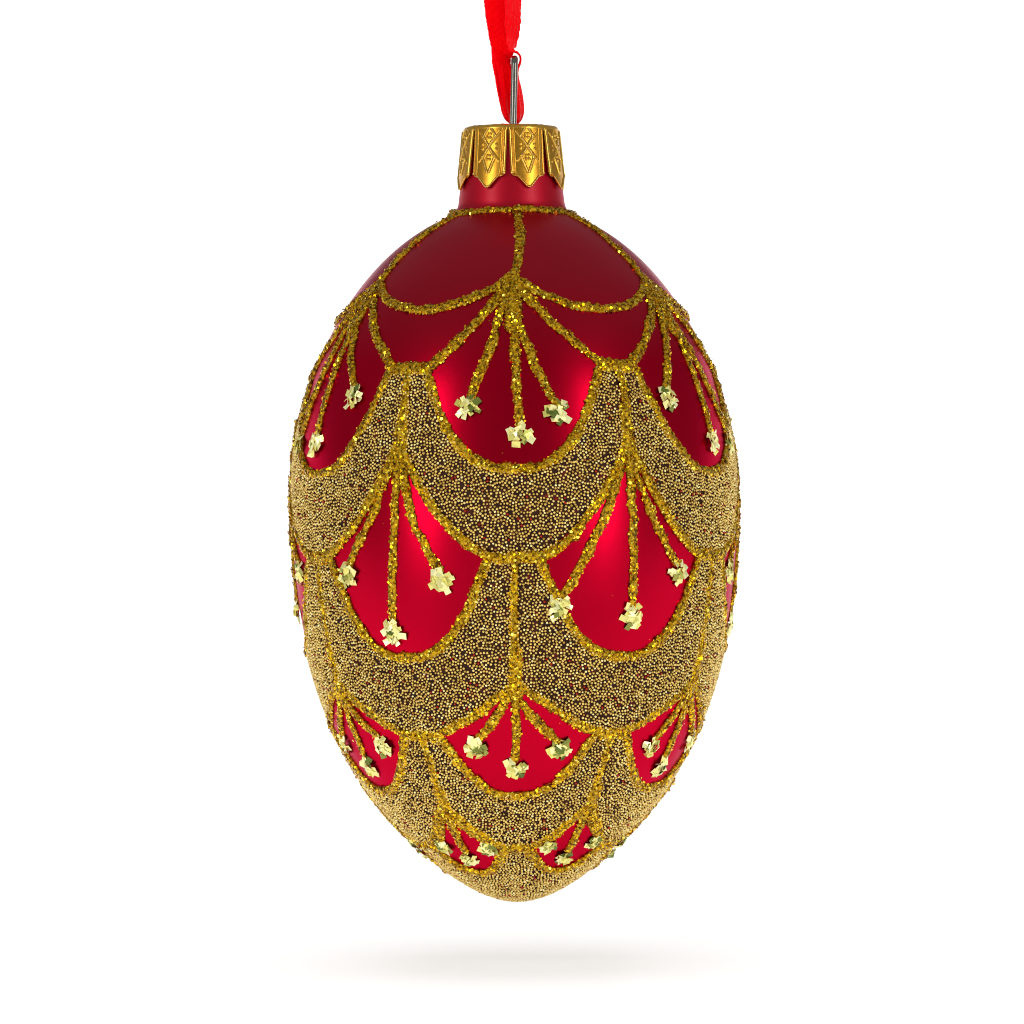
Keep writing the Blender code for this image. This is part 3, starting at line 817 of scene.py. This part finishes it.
def make_crown_lines(glue, flakes):
    """The ring round the neck's foot, the lines down to the first apexes and the garlands between them."""
    turns = np.linspace(0, 2 * math.pi, 240)
    wave = RING_WAVE * np.sin(3 * turns + 0.8)
    lines = [((turns, down_side(RING_HEIGHT + wave)), RING_WIDTH)]
    apex = FAN_ROWS["top"][0]
    for place in range(PLACES):
        middle = place_middle(0, place)
        shift = random.normal(0, 0.02)
        down = straight_path(middle + 0.05 + shift, RING_HEIGHT, middle, apex, shift)
        lines.append((down, CROWN_LINE_WIDTH))
        low = GARLAND_LOW + random.normal(0, HEIGHT_NOISE)
        lines.append((garland_path(middle + PITCH / 2, low, GARLAND_END, 1.9), CROWN_LINE_WIDTH))
    parts = glitter_parts(lines, glue, flakes)
    parts.append(stray_flakes(flakes))
    piece = new_piece("glitter_crown_lines", parts, "glass")
    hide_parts("neck_ring")


def make_swag_lines(glue, flakes):
    """The glitter lines round the bead swags and the red fields, one piece for each row."""
    kinds = list(FAN_ROWS)
    for row, kind in enumerate(kinds):
        apex, junction, bottom = FAN_ROWS[kind]
        reach = (1 - FIELD_SPAN[kind]) * PITCH / 2
        lines = []
        for place in range(PLACES):
            middle = place_middle(row, place)
            nudge = random.normal(0, HEIGHT_NOISE, 3)
            side = middle + PITCH / 2
            garland = garland_path(side, junction + nudge[0], apex, SWAG_POWER[kind], SADDLE[kind])
            field = field_path(middle, bottom + nudge[1], junction + nudge[2], FIELD_SPAN[kind])
            saddle = straight_path(side - reach, junction - 0.0001, side + reach, junction - 0.0001)
            lines += [(garland, LINE_WIDTH), (field, LINE_WIDTH), (saddle, SADDLE_WIDTH)]
            if row + 1 < len(kinds):
                below = FAN_ROWS[kinds[row + 1]][0]
                down = straight_path(side, junction, side, below, random.normal(0, 0.008))
                lines.append((down, DROP_LINE_WIDTH))
        new_piece(f"glitter_swags_{kind}", glitter_parts(lines, glue, flakes), "glass")


def foil_parts(angle, height, reach, material):
    """A star-like cluster of foil chips at the end of a strand."""
    turns = random.uniform(0, 2 * math.pi) + np.arange(CHIPS) * CHIP_TURN + random.normal(0, 0.2, CHIPS)
    outs = np.sqrt(np.linspace(0.02, 1, CHIPS)) * reach * 0.72
    centre, out = skin_at(np.array([angle]), down_side([height]))
    across, along = turned_axes(out, np.zeros(1))
    away = across * np.cos(turns)[:, None] + along * np.sin(turns)[:, None]
    lift = CHIP_LIFT + CHIP_PILE * (1 - outs / outs.max()) + random.uniform(0, 0.00008, CHIPS)
    drop = outs**2 / (2 * EGG_RADIUS)
    places = centre + away * outs[:, None] + out * (lift - drop)[:, None]
    lean = away * random.normal(0.12, 0.3, CHIPS)[:, None]
    facing = unit(out + lean + random.normal(0, 0.22, (CHIPS, 3)))
    side = unit(np.cross(facing, unit(away + random.normal(0, 0.5, (CHIPS, 3)))))
    forward = np.cross(facing, side)
    sizes = random.uniform(*CHIP_SIZE, CHIPS)
    return (*scatter(chip_shape(), places, (forward, side, facing), sizes), material, False)


def fan_paths(kind, middle, ends):
    """The (path, width) lines of a fan: three short ones that fill its crown, then its strands."""
    apex = FAN_ROWS[kind][0]
    radius = ring_radius(apex)
    foot = apex - CROWN_LENGTH[kind]
    paths = [(straight_path(middle, apex + CROWN_RISE[kind], middle, foot), CROWN_WIDTH)]
    for side in (-1, 1):
        high, low = (middle + side * spread_out / radius for spread_out in (CROWN_SPREAD, CROWN_FOOT_SPREAD))
        paths.append((straight_path(high, apex, low, foot), CROWN_SIDE_WIDTH))
    for side, (swing, end) in zip((-1, 0, 1), ends):
        start = middle + side * CROWN_SPREAD / radius
        start_height = apex - STRAND_START - 0.35 * CROWN_LENGTH[kind] * (side + 1)
        bow = -side * math.radians(STRAND_BOW[kind])
        strand = straight_path(start, start_height, middle + swing, end + STRAND_STOP, bow)
        paths.append((strand, STRAND_WIDTH))
    return paths


def make_fans(glue, flakes, foils):
    """Each fan: a filled crown at its apex and three strands that end in foil."""
    for row, kind in enumerate(FAN_ROWS):
        for place in range(PLACES):
            middle = place_middle(row, place)
            ends = []
            for degrees, height in STRANDS[kind][place % len(STRANDS[kind])]:
                swing = math.radians(degrees + random.normal(0, 0.5))
                ends.append((swing, height + random.normal(0, HEIGHT_NOISE)))
            parts = glitter_parts(fan_paths(kind, middle, ends), glue, flakes)
            for swing, end in ends:
                parts.append(foil_parts(middle + swing, end, FOIL_REACH[kind], foils))
            piece = new_piece(f"fan_{kind}_{place + 1}", parts, "glass")
            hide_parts(f"glitter_fan_{kind}_{place + 1}")


def relaxed(places, out, rounds=4):
    """Pushes beads apart until they lie about a pitch from each other."""
    for _ in range(rounds):
        tree = kdtree.KDTree(len(places))
        for number, place in enumerate(places):
            tree.insert(place, number)
        tree.balance()
        moves = np.zeros_like(places)
        for number, place in enumerate(places):
            for other, near, gap in tree.find_range(place, BEAD_PITCH):
                if near != number:
                    push = (BEAD_PITCH - gap) / max(gap, 1e-6) * 0.36
                    moves[number] += (places[number] - np.array(other)) * push
        moves -= out * (moves * out).sum(1, keepdims=True)
        places = places + moves
    return places


def bead_places(middle, half, top, bottom):
    """Bead centres on the glass between two (height by angle) borders."""
    highest, lowest = down_side(top(1.0)), down_side(bottom(0.0))
    angles, alongs = [], []
    for along in np.arange(highest, lowest, BEAD_ROW_PITCH):
        pitch = BEAD_PITCH / max(float(np.interp(along, ALONG, PROFILE[:, 0])), BEAD_PITCH)
        row = np.arange(-half, half, pitch)
        angles.append(row + random.uniform(0, pitch) + random.normal(0, 0.4 * pitch, len(row)))
        alongs.append(along + random.normal(0, 0.45 * BEAD_PITCH, len(row)))
    angle, along = np.concatenate(angles), np.concatenate(alongs)
    height = np.interp(along, ALONG, PROFILE[:, 1])
    share = angle / half
    inside = (np.abs(share) <= 1) & (height < top(share)) & (height > bottom(share))
    return middle + angle[inside], along[inside]


def beads_on(angle, along, material):
    """Beads of slightly different sizes at places on the glass."""
    place, out = skin_at(angle, along)
    place = relaxed(place, out)
    sizes = BEAD_RADIUS * random.uniform(0.86, 1.08, len(place))
    place = place + out * (BEAD_BED + sizes * 0.35 + random.uniform(0, 0.00005, len(place)))[:, None]
    across, forward = turned_axes(out, random.uniform(0, 2 * math.pi, len(place)))
    return (*scatter(dome_shape(), place, (across, forward, out), sizes), material, True)


def bed_part(middle, half, top, bottom, material):
    """The glue bed under the beads, a closed thin layer."""
    columns, rows = 49, 17
    share, up = np.meshgrid(np.linspace(-1, 1, columns), np.linspace(0, 1, rows))
    low, high = down_side(bottom(share)), down_side(top(share))
    along = low + (high - low) * up
    upper, _ = skin_at(middle + share * half, along, BEAD_BED + 0 * share)
    lower, _ = skin_at(middle + share * half, along, 0 * share - BED_FOOT)
    points = np.concatenate([upper.reshape(-1, 3), lower.reshape(-1, 3)])
    faces = grid_faces(rows, columns)[:, ::-1]
    count = rows * columns
    edge = [*range(columns), *range(2 * columns - 1, count, columns)]
    edge += [*range(count - 2, count - columns - 1, -1), *range(count - 2 * columns, 0, -columns)]
    rim = [(edge[k - 1], edge[k - 1] + count, edge[k] + count, edge[k]) for k in range(len(edge))]
    return points, np.concatenate([faces, faces[:, ::-1] + count, np.array(rim)]), material, True


def make_beads(gold, bed):
    """The crescent-shaped bead swags, each between a red field above and a garland below."""
    rows = list(FAN_ROWS.items())
    for row, ((kind_above, above), (kind, below)) in enumerate(zip(rows, rows[1:])):
        _, above_ends, above_low = above
        below_ends, below_low, _ = below
        half = PITCH / 2 - BEAD_MARGIN / ring_radius(below_ends)
        span = FIELD_SPAN[kind_above]

        def top(share):
            return hang(above_low, above_ends, share, FIELD_POWER, 0, span) - BEAD_MARGIN

        def bottom(share):
            return hang(below_low, below_ends, share, SWAG_POWER[kind], SADDLE[kind]) + BEAD_MARGIN

        for place in range(PLACES):
            middle = place_middle(row, place)
            angle, along = bead_places(middle, half, top, bottom)
            parts = [bed_part(middle, half, top, bottom, bed), beads_on(angle, along, gold)]
            piece = new_piece(f"beads_{kind}_{place + 1}", parts, "glass")
            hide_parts(f"bead_swag_{kind}_{place + 1}")


def tip_top(angle):
    """Height of the bead tip's upper border: it runs under the last row's red fields."""
    junction, bottom = FAN_ROWS["tip"][1:]
    share = ((angle / PITCH + 0.5) % 1 - 0.5) * 2
    return hang(bottom, junction, 1 - np.abs(share), FIELD_POWER, 0, FIELD_SPAN["tip"]) - TIP_MARGIN


def tip_bed(material):
    """The glue bed of the bead tip, a closed thin bowl with a small hole at its bottom."""
    columns, rows = 96, 24
    around = np.arange(columns)
    turn, share = np.meshgrid(around * 2 * math.pi / columns, np.linspace(0, 1, rows))
    first = down_side(tip_top(turn))
    along = first + (ALONG[-1] - 0.0004 - first) * share
    upper, _ = skin_at(turn, along, BEAD_BED * np.clip(share * 12, 0, 1) - 0.00002)
    lower, _ = skin_at(turn, along, 0 * along - 0.00006)
    points = np.concatenate([upper.reshape(-1, 3), lower.reshape(-1, 3)])
    count = rows * columns
    faces = grid_faces(rows, columns, closed=True)
    rims = []
    for row, flip in ((0, False), (rows - 1, True)):
        ring, beside = row * columns + around, row * columns + (around + 1) % columns
        side = np.stack([ring, beside, beside + count, ring + count], -1)
        rims.append(side[:, ::-1] if flip else side)
    return points, np.concatenate([faces, faces[:, ::-1] + count, *rims]), material, True


def make_bead_tip(gold, bed):
    """The bead-covered bottom of the egg."""
    angles, alongs = [], []
    start = down_side(FAN_ROWS["tip"][1])
    for along in np.arange(start, ALONG[-1] - BEAD_PITCH * 0.4, BEAD_ROW_PITCH):
        pitch = BEAD_PITCH / max(float(np.interp(along, ALONG, PROFILE[:, 0])), BEAD_PITCH * 0.5)
        row = np.arange(0, 2 * math.pi, pitch)
        angles.append(row + random.normal(0, 0.3 * pitch, len(row)))
        alongs.append(along + random.normal(0, 0.25 * BEAD_PITCH, len(row)))
    angle, along = np.concatenate(angles), np.minimum(np.concatenate(alongs), ALONG[-1])
    inside = np.interp(along, ALONG, PROFILE[:, 1]) < tip_top(angle)
    parts = [tip_bed(bed), beads_on(angle[inside], along[inside], gold)]
    piece = new_piece("beads_tip", parts, "glass")
    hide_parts("bead_tip")


# Cap


def near_line(x, z, start, end):
    """Distance from each point to a straight line between two points."""
    start, end = np.array(start), np.array(end)
    along = end - start
    t = np.clip(((x - start[0]) * along[0] + (z - start[1]) * along[1]) / (along @ along), 0, 1)
    return np.hypot(x - start[0] - along[0] * t, z - start[1] - along[1] * t)


def stamped(distance, width, height=1.0):
    """A rounded ridge of the stamping, by distance from its line."""
    return height * np.exp(-((distance / width) ** 2))


def petal_lattice(x, z):
    """The stamping down a petal's middle: two diamonds over each other, a cross and dots."""
    cross, tall = CROSS_DROP, DIAMOND_HEIGHT
    ridges = []
    for side in (-1, 1):
        corner = side * DIAMOND_HALF
        chain = [(0, cross - tall), (corner, cross - tall / 2), (0, cross), (corner, cross + tall / 2)]
        chain.append((side * DIAMOND_TAIL[0], cross + tall + DIAMOND_TAIL[1]))
        ridges += [stamped(near_line(x, z, a, b), BAR_WIDTH) for a, b in zip(chain, chain[1:])]
        for way in (-1, 1):
            arm_end = (side * ARM_REACH[0], cross + way * ARM_REACH[1])
            ridges.append(stamped(near_line(x, z, (0, cross), arm_end), ARM_WIDTH, 0.8))
            spot = np.hypot(x - side * SIDE_DOT[0], z - cross - way * SIDE_DOT[1])
            ridges.append(stamped(spot, SIDE_DOT_WIDTH, 0.75))
            for level in (cross - tall / 2, cross + tall / 2):
                spot = np.hypot(x - side * INNER_DOT[0], (z - level - way * INNER_DOT[1]) * 0.8)
                ridges.append(stamped(spot, INNER_DOT_WIDTH, 0.9))
    return np.max(ridges, axis=0)


def petal_relief(x, z, half, outline_gap):
    """How high the stamping stands, 0 to 1, at x across a petal and z below the cap's top, in mm."""
    relief = 0.25 + 0 * x
    for inset in RIB_INSETS:
        rib = stamped(np.abs(x) - (half - inset), RIB_WIDTH, 0.95)
        relief = np.maximum(relief, rib * (z < RIB_END))
    panel = (np.abs(x) < half - PANEL_INSET) | (z > PANEL_END)
    relief = np.maximum(relief, petal_lattice(x, z) * panel)
    edge = stamped(outline_gap - EDGE_RIB_WIDTH, EDGE_RIB_WIDTH)
    return np.maximum(relief, edge * (z > PANEL_END))


def cap_radius(drop):
    """The skirt's outer radius, by how far below the cap's top."""
    return CAP_TOP_RADIUS + (CAP_TIP_RADIUS - CAP_TOP_RADIUS) * np.clip(drop / CAP_HEIGHT, 0, 1)


def half_petal(drop):
    """Half a petal's width in mm, by mm below the cap's top: slit, shoulder, then a point."""
    slit = np.interp(drop, SLIT_DROPS, SLIT_WIDTHS) * (drop > SLIT_DROPS[0])
    half = cap_radius(drop * MM) / MM * math.pi / PETALS - slit
    blend = np.clip((drop - SHOULDER) / SHOULDER_DEPTH, 0, 1)
    shoulder = half + (POINT_WIDTHS[0] - half) * blend
    return np.where(blend < 1, shoulder, np.interp(drop, POINT_DROPS, POINT_WIDTHS))


def cap_petal(petal, drops, share):
    """A petal's points, a row for each drop, and how high its stamping stands at each."""
    middle = PETAL_PHASE + (petal + 0.5) * 2 * math.pi / PETALS
    drop = np.repeat(drops[:, None], len(share), 1)
    half = half_petal(drop)
    x = share[None] * half
    outline_gap = np.minimum((half - np.abs(x)) * 0.85, (drops[-1] - drop) + 0.02)
    relief = petal_relief(x, drop, half, outline_gap)
    radius = cap_radius(drop * MM)
    curl = PETAL_CURL * np.sin(petal * 2.1) * np.clip((drop - 4) / 4, 0, 1)
    out = radius + (relief - 0.5) * RELIEF + curl
    angle = middle + x * MM / radius
    points = np.stack([out * np.sin(angle), -out * np.cos(angle), CAP_TOP - drop * MM], -1)
    return points.reshape(-1, 3), relief.ravel()


def cap_top_points(around):
    """Rings of points from the middle of the cap's flat top to the foot of its rounded edge."""
    angles = PETAL_PHASE + np.arange(around) * 2 * math.pi / around
    rings = [(radius, CAP_TOP) for radius in CAP_TOP_RINGS]
    for turn in reversed(np.linspace(0, math.pi / 2, 8)[:-1]):
        radius = CAP_TOP_RADIUS - CAP_EDGE + CAP_EDGE * math.cos(turn)
        rings.append((radius, CAP_TOP - CAP_EDGE + CAP_EDGE * math.sin(turn)))
    wave = CAP_DENT * (np.cos(angles * 32) * 0.5 + np.cos(angles * 8 + 1.3) * 0.5)
    points = []
    for radius, height in rings:
        near_edge = math.exp(-(((radius - CAP_DENT_RADIUS) / CAP_DENT_SPREAD) ** 2))
        height = height + (wave - CAP_DENT) * near_edge
        points.append(np.stack([radius * np.sin(angles), -radius * np.cos(angles), height], -1))
    return np.concatenate(points)


def make_cap(gold):
    """The stamped cap: a flat top with a rounded edge and eight embossed petals."""
    columns = 57
    drops = np.concatenate([np.linspace(0.6, 6.3, 74), np.linspace(6.37, 8.2, 44)])
    points, faces, relief = [], [], []
    first = 0
    for petal in range(PETALS):
        petal_points, stamping = cap_petal(petal, drops, np.linspace(-1, 1, columns))
        points.append(petal_points)
        relief.append(stamping)
        faces.append(grid_faces(len(drops), columns) + first)
        first += len(petal_points)
    around = PETALS * (columns - 1)
    top = cap_top_points(around)
    faces.append(grid_faces(len(top) // around, around, closed=True) + first)
    points = np.concatenate([*points, top, [[0, 0, CAP_TOP]]])
    relief.append(np.full(len(top) + 1, 0.6))
    ring = np.arange(around)
    middle_fan = np.stack([np.full(around, len(points) - 1), first + ring, first + (ring + 1) % around], -1)
    mesh = bpy.data.meshes.new("cap_stamped")
    mesh.from_pydata(points.tolist(), [], [*np.concatenate(faces).tolist(), *middle_fan.tolist()])
    # How high the stamping stands; the cap's colour reads it to paint shade into the low parts and light
    # onto the raised parts
    mesh.attributes.new("relief", "FLOAT", "POINT").data.foreach_set("value", np.concatenate(relief))
    mesh.materials.append(gold)
    piece = bpy.data.objects.new("cap_stamped", mesh)
    bpy.context.scene.collection.objects.link(piece)
    apply_modifiers(piece, [
        ("WELD", {"merge_threshold": 0.00001}),
        ("SOLIDIFY", {"thickness": CAP_SHEET, "offset": -1}),
    ])
    cut_wire_holes(piece)
    piece.data.shade_smooth()
    piece.data.set_sharp_from_angle(angle=math.radians(50))
    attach(piece, "cap")
    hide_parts("cap")


def apply_modifiers(piece, wanted):
    for kind, values in wanted:
        modifier = piece.modifiers.new(kind.lower(), kind)
        for key, value in values.items():
            setattr(modifier, key, value)
    bpy.context.view_layer.update()
    shown = piece.evaluated_get(bpy.context.evaluated_depsgraph_get())
    mesh = bpy.data.meshes.new_from_object(shown)
    piece.modifiers.clear()
    piece.data = mesh


def cut_wire_holes(piece):
    """Two round holes in the cap's top for the wire's legs."""
    cutters = []
    for side in (-1, 1):
        bpy.ops.mesh.primitive_cylinder_add(
            vertices=32, radius=WIRE_RADIUS + WIRE_HOLE_CLEARANCE, depth=0.002,
            location=(HANGER_SHIFT, side * LEG_SPACING / 2, CAP_TOP),
        )
        cutters.append(bpy.context.object)
    apply_modifiers(piece, [
        ("BOOLEAN", {"object": cutter, "operation": "DIFFERENCE", "solver": "EXACT"}) for cutter in cutters
    ])
    for cutter in cutters:
        bpy.data.objects.remove(cutter, do_unlink=True)


# Wire


def tube(route, radius, sides=20):
    """Points and faces of a closed round tube along a route of points."""
    route = np.asarray(route)
    forward = unit(np.gradient(route, axis=0))
    side = np.repeat([[1.0, 0.0, 0.0]], len(route), 0)
    side = unit(side - forward * (side * forward).sum(1, keepdims=True))
    other = np.cross(forward, side)
    turns = np.arange(sides) * 2 * math.pi / sides
    rows = route[:, None] + radius * (
        side[:, None] * np.cos(turns)[None, :, None] + other[:, None] * np.sin(turns)[None, :, None]
    )
    faces = grid_faces(len(route), sides, closed=True)[:, ::-1]
    low = [(0, k, k + 1) for k in range(1, sides - 1)]
    last = (len(route) - 1) * sides
    high = [(last, last + k + 1, last + k) for k in range(1, sides - 1)]
    return rows.reshape(-1, 3), faces, np.array(low + high)[:, ::-1]


def catmull(points, steps):
    """Points on a smooth curve through a list of points."""
    points = np.asarray(points, float)
    ends = np.concatenate([[points[0] * 2 - points[1]], points, [points[-1] * 2 - points[-2]]])
    t = (np.arange(steps) / steps)[:, None]
    rows = []
    for a, b, c, d in zip(ends, ends[1:], ends[2:], ends[3:]):
        square = a * 2 - b * 5 + c * 4 - d
        cube = b * 3 - a - c * 3 + d
        rows.append((b * 2 + (c - a) * t + square * t**2 + cube * t**3) / 2)
    return np.concatenate([*rows, points[-1:]])


def make_wire(steel):
    """One wire: a square-topped loop above the cap and two sprung legs below it."""
    half = LEG_SPACING / 2
    top = LOOP_TOP - WIRE_RADIUS
    straight = CAP_TOP - LEG_STRAIGHT
    bent, toe = straight - LEG_BEND, CAP_TOP - LEG_DEPTH
    sprung = LEG_SPRUNG - half
    leg = [
        (0, top),
        (half - LOOP_CORNER, top),
        (half - LOOP_CORNER * 0.3, top - LOOP_CORNER * 0.3),
        (half, top - LOOP_CORNER),
        (half, top - 3 * LOOP_CORNER),
        (half, CAP_TOP),
        (half, straight),
        (half + sprung * 0.3, straight - LEG_BEND * 0.4),
        (half + sprung * 0.8, straight - LEG_BEND * 0.75),
        (LEG_SPRUNG, bent),
        (LEG_SPRUNG, (bent * 2 + toe) / 3),
        (LEG_SPRUNG - LEG_TOE_IN * 0.35, (bent + toe * 2) / 3),
        (LEG_SPRUNG - LEG_TOE_IN, toe),
    ]
    route = [(0, -y, z) for y, z in reversed(leg)] + [(0, y, z) for y, z in leg[1:]]
    route = catmull(route, 8)
    route[:, 0] = HANGER_SHIFT + HANGER_LEAN * np.maximum(route[:, 2] - CAP_TOP, 0)
    points, faces, caps = tube(route, WIRE_RADIUS)
    parts = [(points, faces, steel, True), more_faces(points, caps, steel, False)]
    piece = new_piece("wire_hanger", parts, "hanger")
    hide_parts("hanger_wire")


# Ribbon


def ribbon_surface(middle, length, share):
    """How far sideways and how far out the ribbon's points lie from its middle line."""
    up = middle[:, 2:3] - CAP_TOP
    at_bar = np.exp(-(((up - RIBBON_BAR) / 0.0008) ** 2))
    low = np.clip(1 - (up - 0.002) / RIBBON_FOOT, 0, 1) * (1 - 0.8 * at_bar)
    crease = np.sin(share * 5.2 + up * 420) * 0.00011 + np.sin(share * 15 + up * 300) * 0.00005
    cup = (share**2 - 0.4) * 0.00022 * np.sin(up * 300 + 0.5)
    back_up = np.linspace(0, 1, len(middle))[:, None] > 0.5
    pinch = np.exp(-(((up - RIBBON_PINCH) / 0.0024) ** 2)) * back_up
    crinkle = np.sin(share * 9 + up * 2600 + 2 * np.sin(up * 1300)) * np.sin(up * 1900 - share * 5)
    lift = (crease + cup) * low + crinkle * pinch * 0.00014
    fray = 0.00003 * np.sin(length[:, None] * 9000 + 3 * np.sin(length[:, None] * 2100))
    narrowing = 0.10 * low * np.sin(np.clip(up / RIBBON_FOOT, 0, 1) * math.pi)
    sideways = share * (RIBBON_WIDTH / 2 * (0.985 - narrowing)) + fray * (np.abs(share) > 0.97)
    return sideways + 0.00007 * pinch * np.sin(up * 6100) * (share > 0.9), lift


def make_ribbon(cloth):
    """The satin ribbon along its route, with creases where it is pinched in the loop."""
    route = catmull(RIBBON_ROUTE, 14)
    middle = route[:, :3] + [HANGER_SHIFT, 0, CAP_TOP]
    turn = np.radians(route[:, 3])
    forward = unit(np.gradient(middle, axis=0))
    wide = np.stack([np.cos(turn), np.sin(turn), 0 * turn], -1)
    wide = unit(wide - forward * (wide * forward).sum(1, keepdims=True))
    thick = np.cross(forward, wide)
    length = np.concatenate([[0], np.cumsum(np.linalg.norm(np.diff(middle, axis=0), axis=1))])
    rows, columns = len(middle), 25
    share = np.linspace(-1, 1, columns)
    sideways, lift = ribbon_surface(middle, length, share[None])
    front = middle[:, None] + wide[:, None] * sideways[..., None] + thick[:, None] * lift[..., None]
    down = thick[:, None] * RIBBON_THICKNESS / 2
    points = np.concatenate([front + down, (front - down)[:, ::-1]], 1).reshape(-1, 3)
    faces = grid_faces(rows, 2 * columns, closed=True)
    ends = more_faces(points, band_ends(rows, 2 * columns), cloth, False)
    piece = new_piece("satin_ribbon", [(points, faces, cloth, True), ends], "ribbon")
    across = piece.data.attributes.new("across", "FLOAT", "POINT")
    across.data.foreach_set("value", np.tile(np.concatenate([share, share[::-1]]), rows))
    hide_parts("ribbon_loop")
    return piece, middle, float(length[-1])


def make_knot(cloth):
    """The overhand knot over the two ends: wrapped turns of the ribbon, and two cut tails."""
    low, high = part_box("ribbon_knot")
    centre = (low + high) / 2
    size = high - low
    share = np.linspace(0, 1, 150)
    turns = 2 * math.pi * KNOT_TURNS * share
    swell = 0.36 * (0.6 + 0.4 * np.sin(share * math.pi).clip(0) ** 0.4)
    route = np.stack([
        centre.x + size.x * np.cos(turns) * swell,
        centre.y + size.y * np.sin(turns) * swell,
        low.z + size.z * (0.25 + 0.5 * share) + 0.0004 * np.sin(turns * 0.5),
    ], -1)
    parts = [loft(route, *KNOT_BAND, cloth, tilt=0.5 + 0.2 * np.sin(turns))]
    for side in (-1, 1):
        tail = [
            (centre.x + side * right, centre.y + side * back, low.z + size.z * level + rise)
            for right, back, level, rise in TAIL_ROUTE
        ]
        tail = catmull(tail, 10)
        parts.append(loft(tail, *TAIL_BAND, cloth, tilt=np.linspace(1.2, 0.5, len(tail))))
    piece = new_piece("ribbon_knot_tied", parts, "ribbon")
    across = piece.data.attributes.new("across", "FLOAT", "POINT")
    across.data.foreach_set("value", np.linspace(-1, 1, len(piece.data.vertices)))
    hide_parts("ribbon_knot")
    return piece


def loft(route, half_width, half_thickness, material, tilt):
    """A flat, rounded band along a route, with its width turned by tilt from upright."""
    forward = unit(np.gradient(route, axis=0))
    side = unit(np.cross(forward, np.array([[0, 0, 1.0]]) + 1e-3))
    other = np.cross(side, forward)
    wide = other * np.cos(tilt)[:, None] + side * np.sin(tilt)[:, None]
    thick = np.cross(forward, wide)
    sides = 16
    turns = np.arange(sides) * 2 * math.pi / sides
    rows = route[:, None] + wide[:, None] * (half_width * np.cos(turns))[None, :, None]
    rows = rows + thick[:, None] * (half_thickness * np.sin(turns))[None, :, None]
    faces = np.concatenate([grid_faces(len(route), sides, closed=True), band_ends(len(route), sides)])
    return rows.reshape(-1, 3), faces, material, True


# Stage


def make_stage():
    """A white floor that curves up into a low backdrop, evenly lit from its own back."""
    floor = EGG_Z - FLOOR_DROP
    turns = np.linspace(0, math.pi / 2, 16)
    profile = [(-3.0, floor), (-0.5, floor), (0.0, floor), (0.5, floor)]
    profile += [(1 + BACKDROP_ARC * math.sin(t), floor + BACKDROP_ARC * (1 - math.cos(t))) for t in turns]
    points = [(x, y, z) for y, z in profile for x in (-3, 3)]
    faces = [(2 * k, 2 * k + 1, 2 * k + 3, 2 * k + 2) for k in range(len(profile) - 1)]
    mesh = bpy.data.meshes.new("backdrop")
    mesh.from_pydata(points, [], faces)
    mesh.shade_smooth()
    backdrop = bpy.data.objects.new("backdrop", mesh)
    bpy.context.scene.collection.objects.link(backdrop)
    material, tree, shader = new_material("white_paper", 0.9, 0.0)
    shader.inputs["Base Color"].default_value = (0.6, 0.6, 0.6, 1)
    shader.inputs["Specular IOR Level"].default_value = 0.0
    near, far = GLOW_SPAN
    stops = [((y - near) / (far - near), (level, level, level)) for y, level in GLOW]
    paint(tree, shader, spread(tree, axis_value(tree, "Y"), GLOW_SPAN), stops, "Emission Color")
    shader.inputs["Emission Strength"].default_value = 1
    mesh.materials.append(material)


def make_lights():
    """Two tall soft boxes in front, one each side, a soft light above, a front fill and a pale world."""
    for name, (x, y, z), size, power, mirrored in LIGHTS:
        light = bpy.data.lights.new(name, "AREA")
        light.shape = "RECTANGLE"
        light.size, light.size_y = size
        light.energy = power
        lamp = bpy.data.objects.new(name, light)
        lamp.location = (x, y, EGG_Z + z)
        lamp.visible_glossy = mirrored
        lamp.rotation_euler = Vector((-x, -y, -z)).to_track_quat("-Z", "Y").to_euler()
        bpy.context.scene.collection.objects.link(lamp)
    world = bpy.data.worlds.new("studio")
    world.use_nodes = True
    background = world.node_tree.nodes["Background"]
    background.inputs["Color"].default_value = (1, 1, 1, 1)
    background.inputs["Strength"].default_value = WORLD_STRENGTH
    bpy.context.scene.world = world


def make_camera():
    """Level with the egg's widest plane, far enough off to flatten it as a long lens does."""
    data = bpy.data.cameras.new("camera")
    data.sensor_width = SENSOR_WIDTH
    data.lens = SENSOR_WIDTH * CAMERA_DISTANCE / CAMERA_FIELD
    data.clip_start, data.clip_end = 0.05, 20
    camera = bpy.data.objects.new("camera", data)
    camera.location = (CAMERA_RIGHT, -CAMERA_DISTANCE, EGG_Z + CAMERA_RISE)
    camera.rotation_euler = (math.pi / 2, CAMERA_ROLL, 0)
    bpy.context.scene.collection.objects.link(camera)
    bpy.context.scene.camera = camera


bpy.context.scene.view_settings.view_transform = "Standard"
bpy.context.scene.cycles.filter_width = 1.0
make_camera()
ribbon_cloth = satin()
ribbon, ribbon_line, ribbon_length = make_ribbon(ribbon_cloth)
knot = make_knot(ribbon_cloth)
make_glass(lacquer(), silvering())
make_wire(bright_steel())
make_cap(stamped_gold_painted_shade())
line_glue, line_flakes = glue_gold(), flake_gold()
make_crown_lines(line_glue, line_flakes)
make_swag_lines(line_glue, line_flakes)
make_fans(line_glue, line_flakes, foil())
bead_material, bed_shade_material = bead_gold(), bead_bed_painted_shade()
make_beads(bead_material, bed_shade_material)
make_bead_tip(bead_material, bed_shade_material)
make_stage()
make_lights()
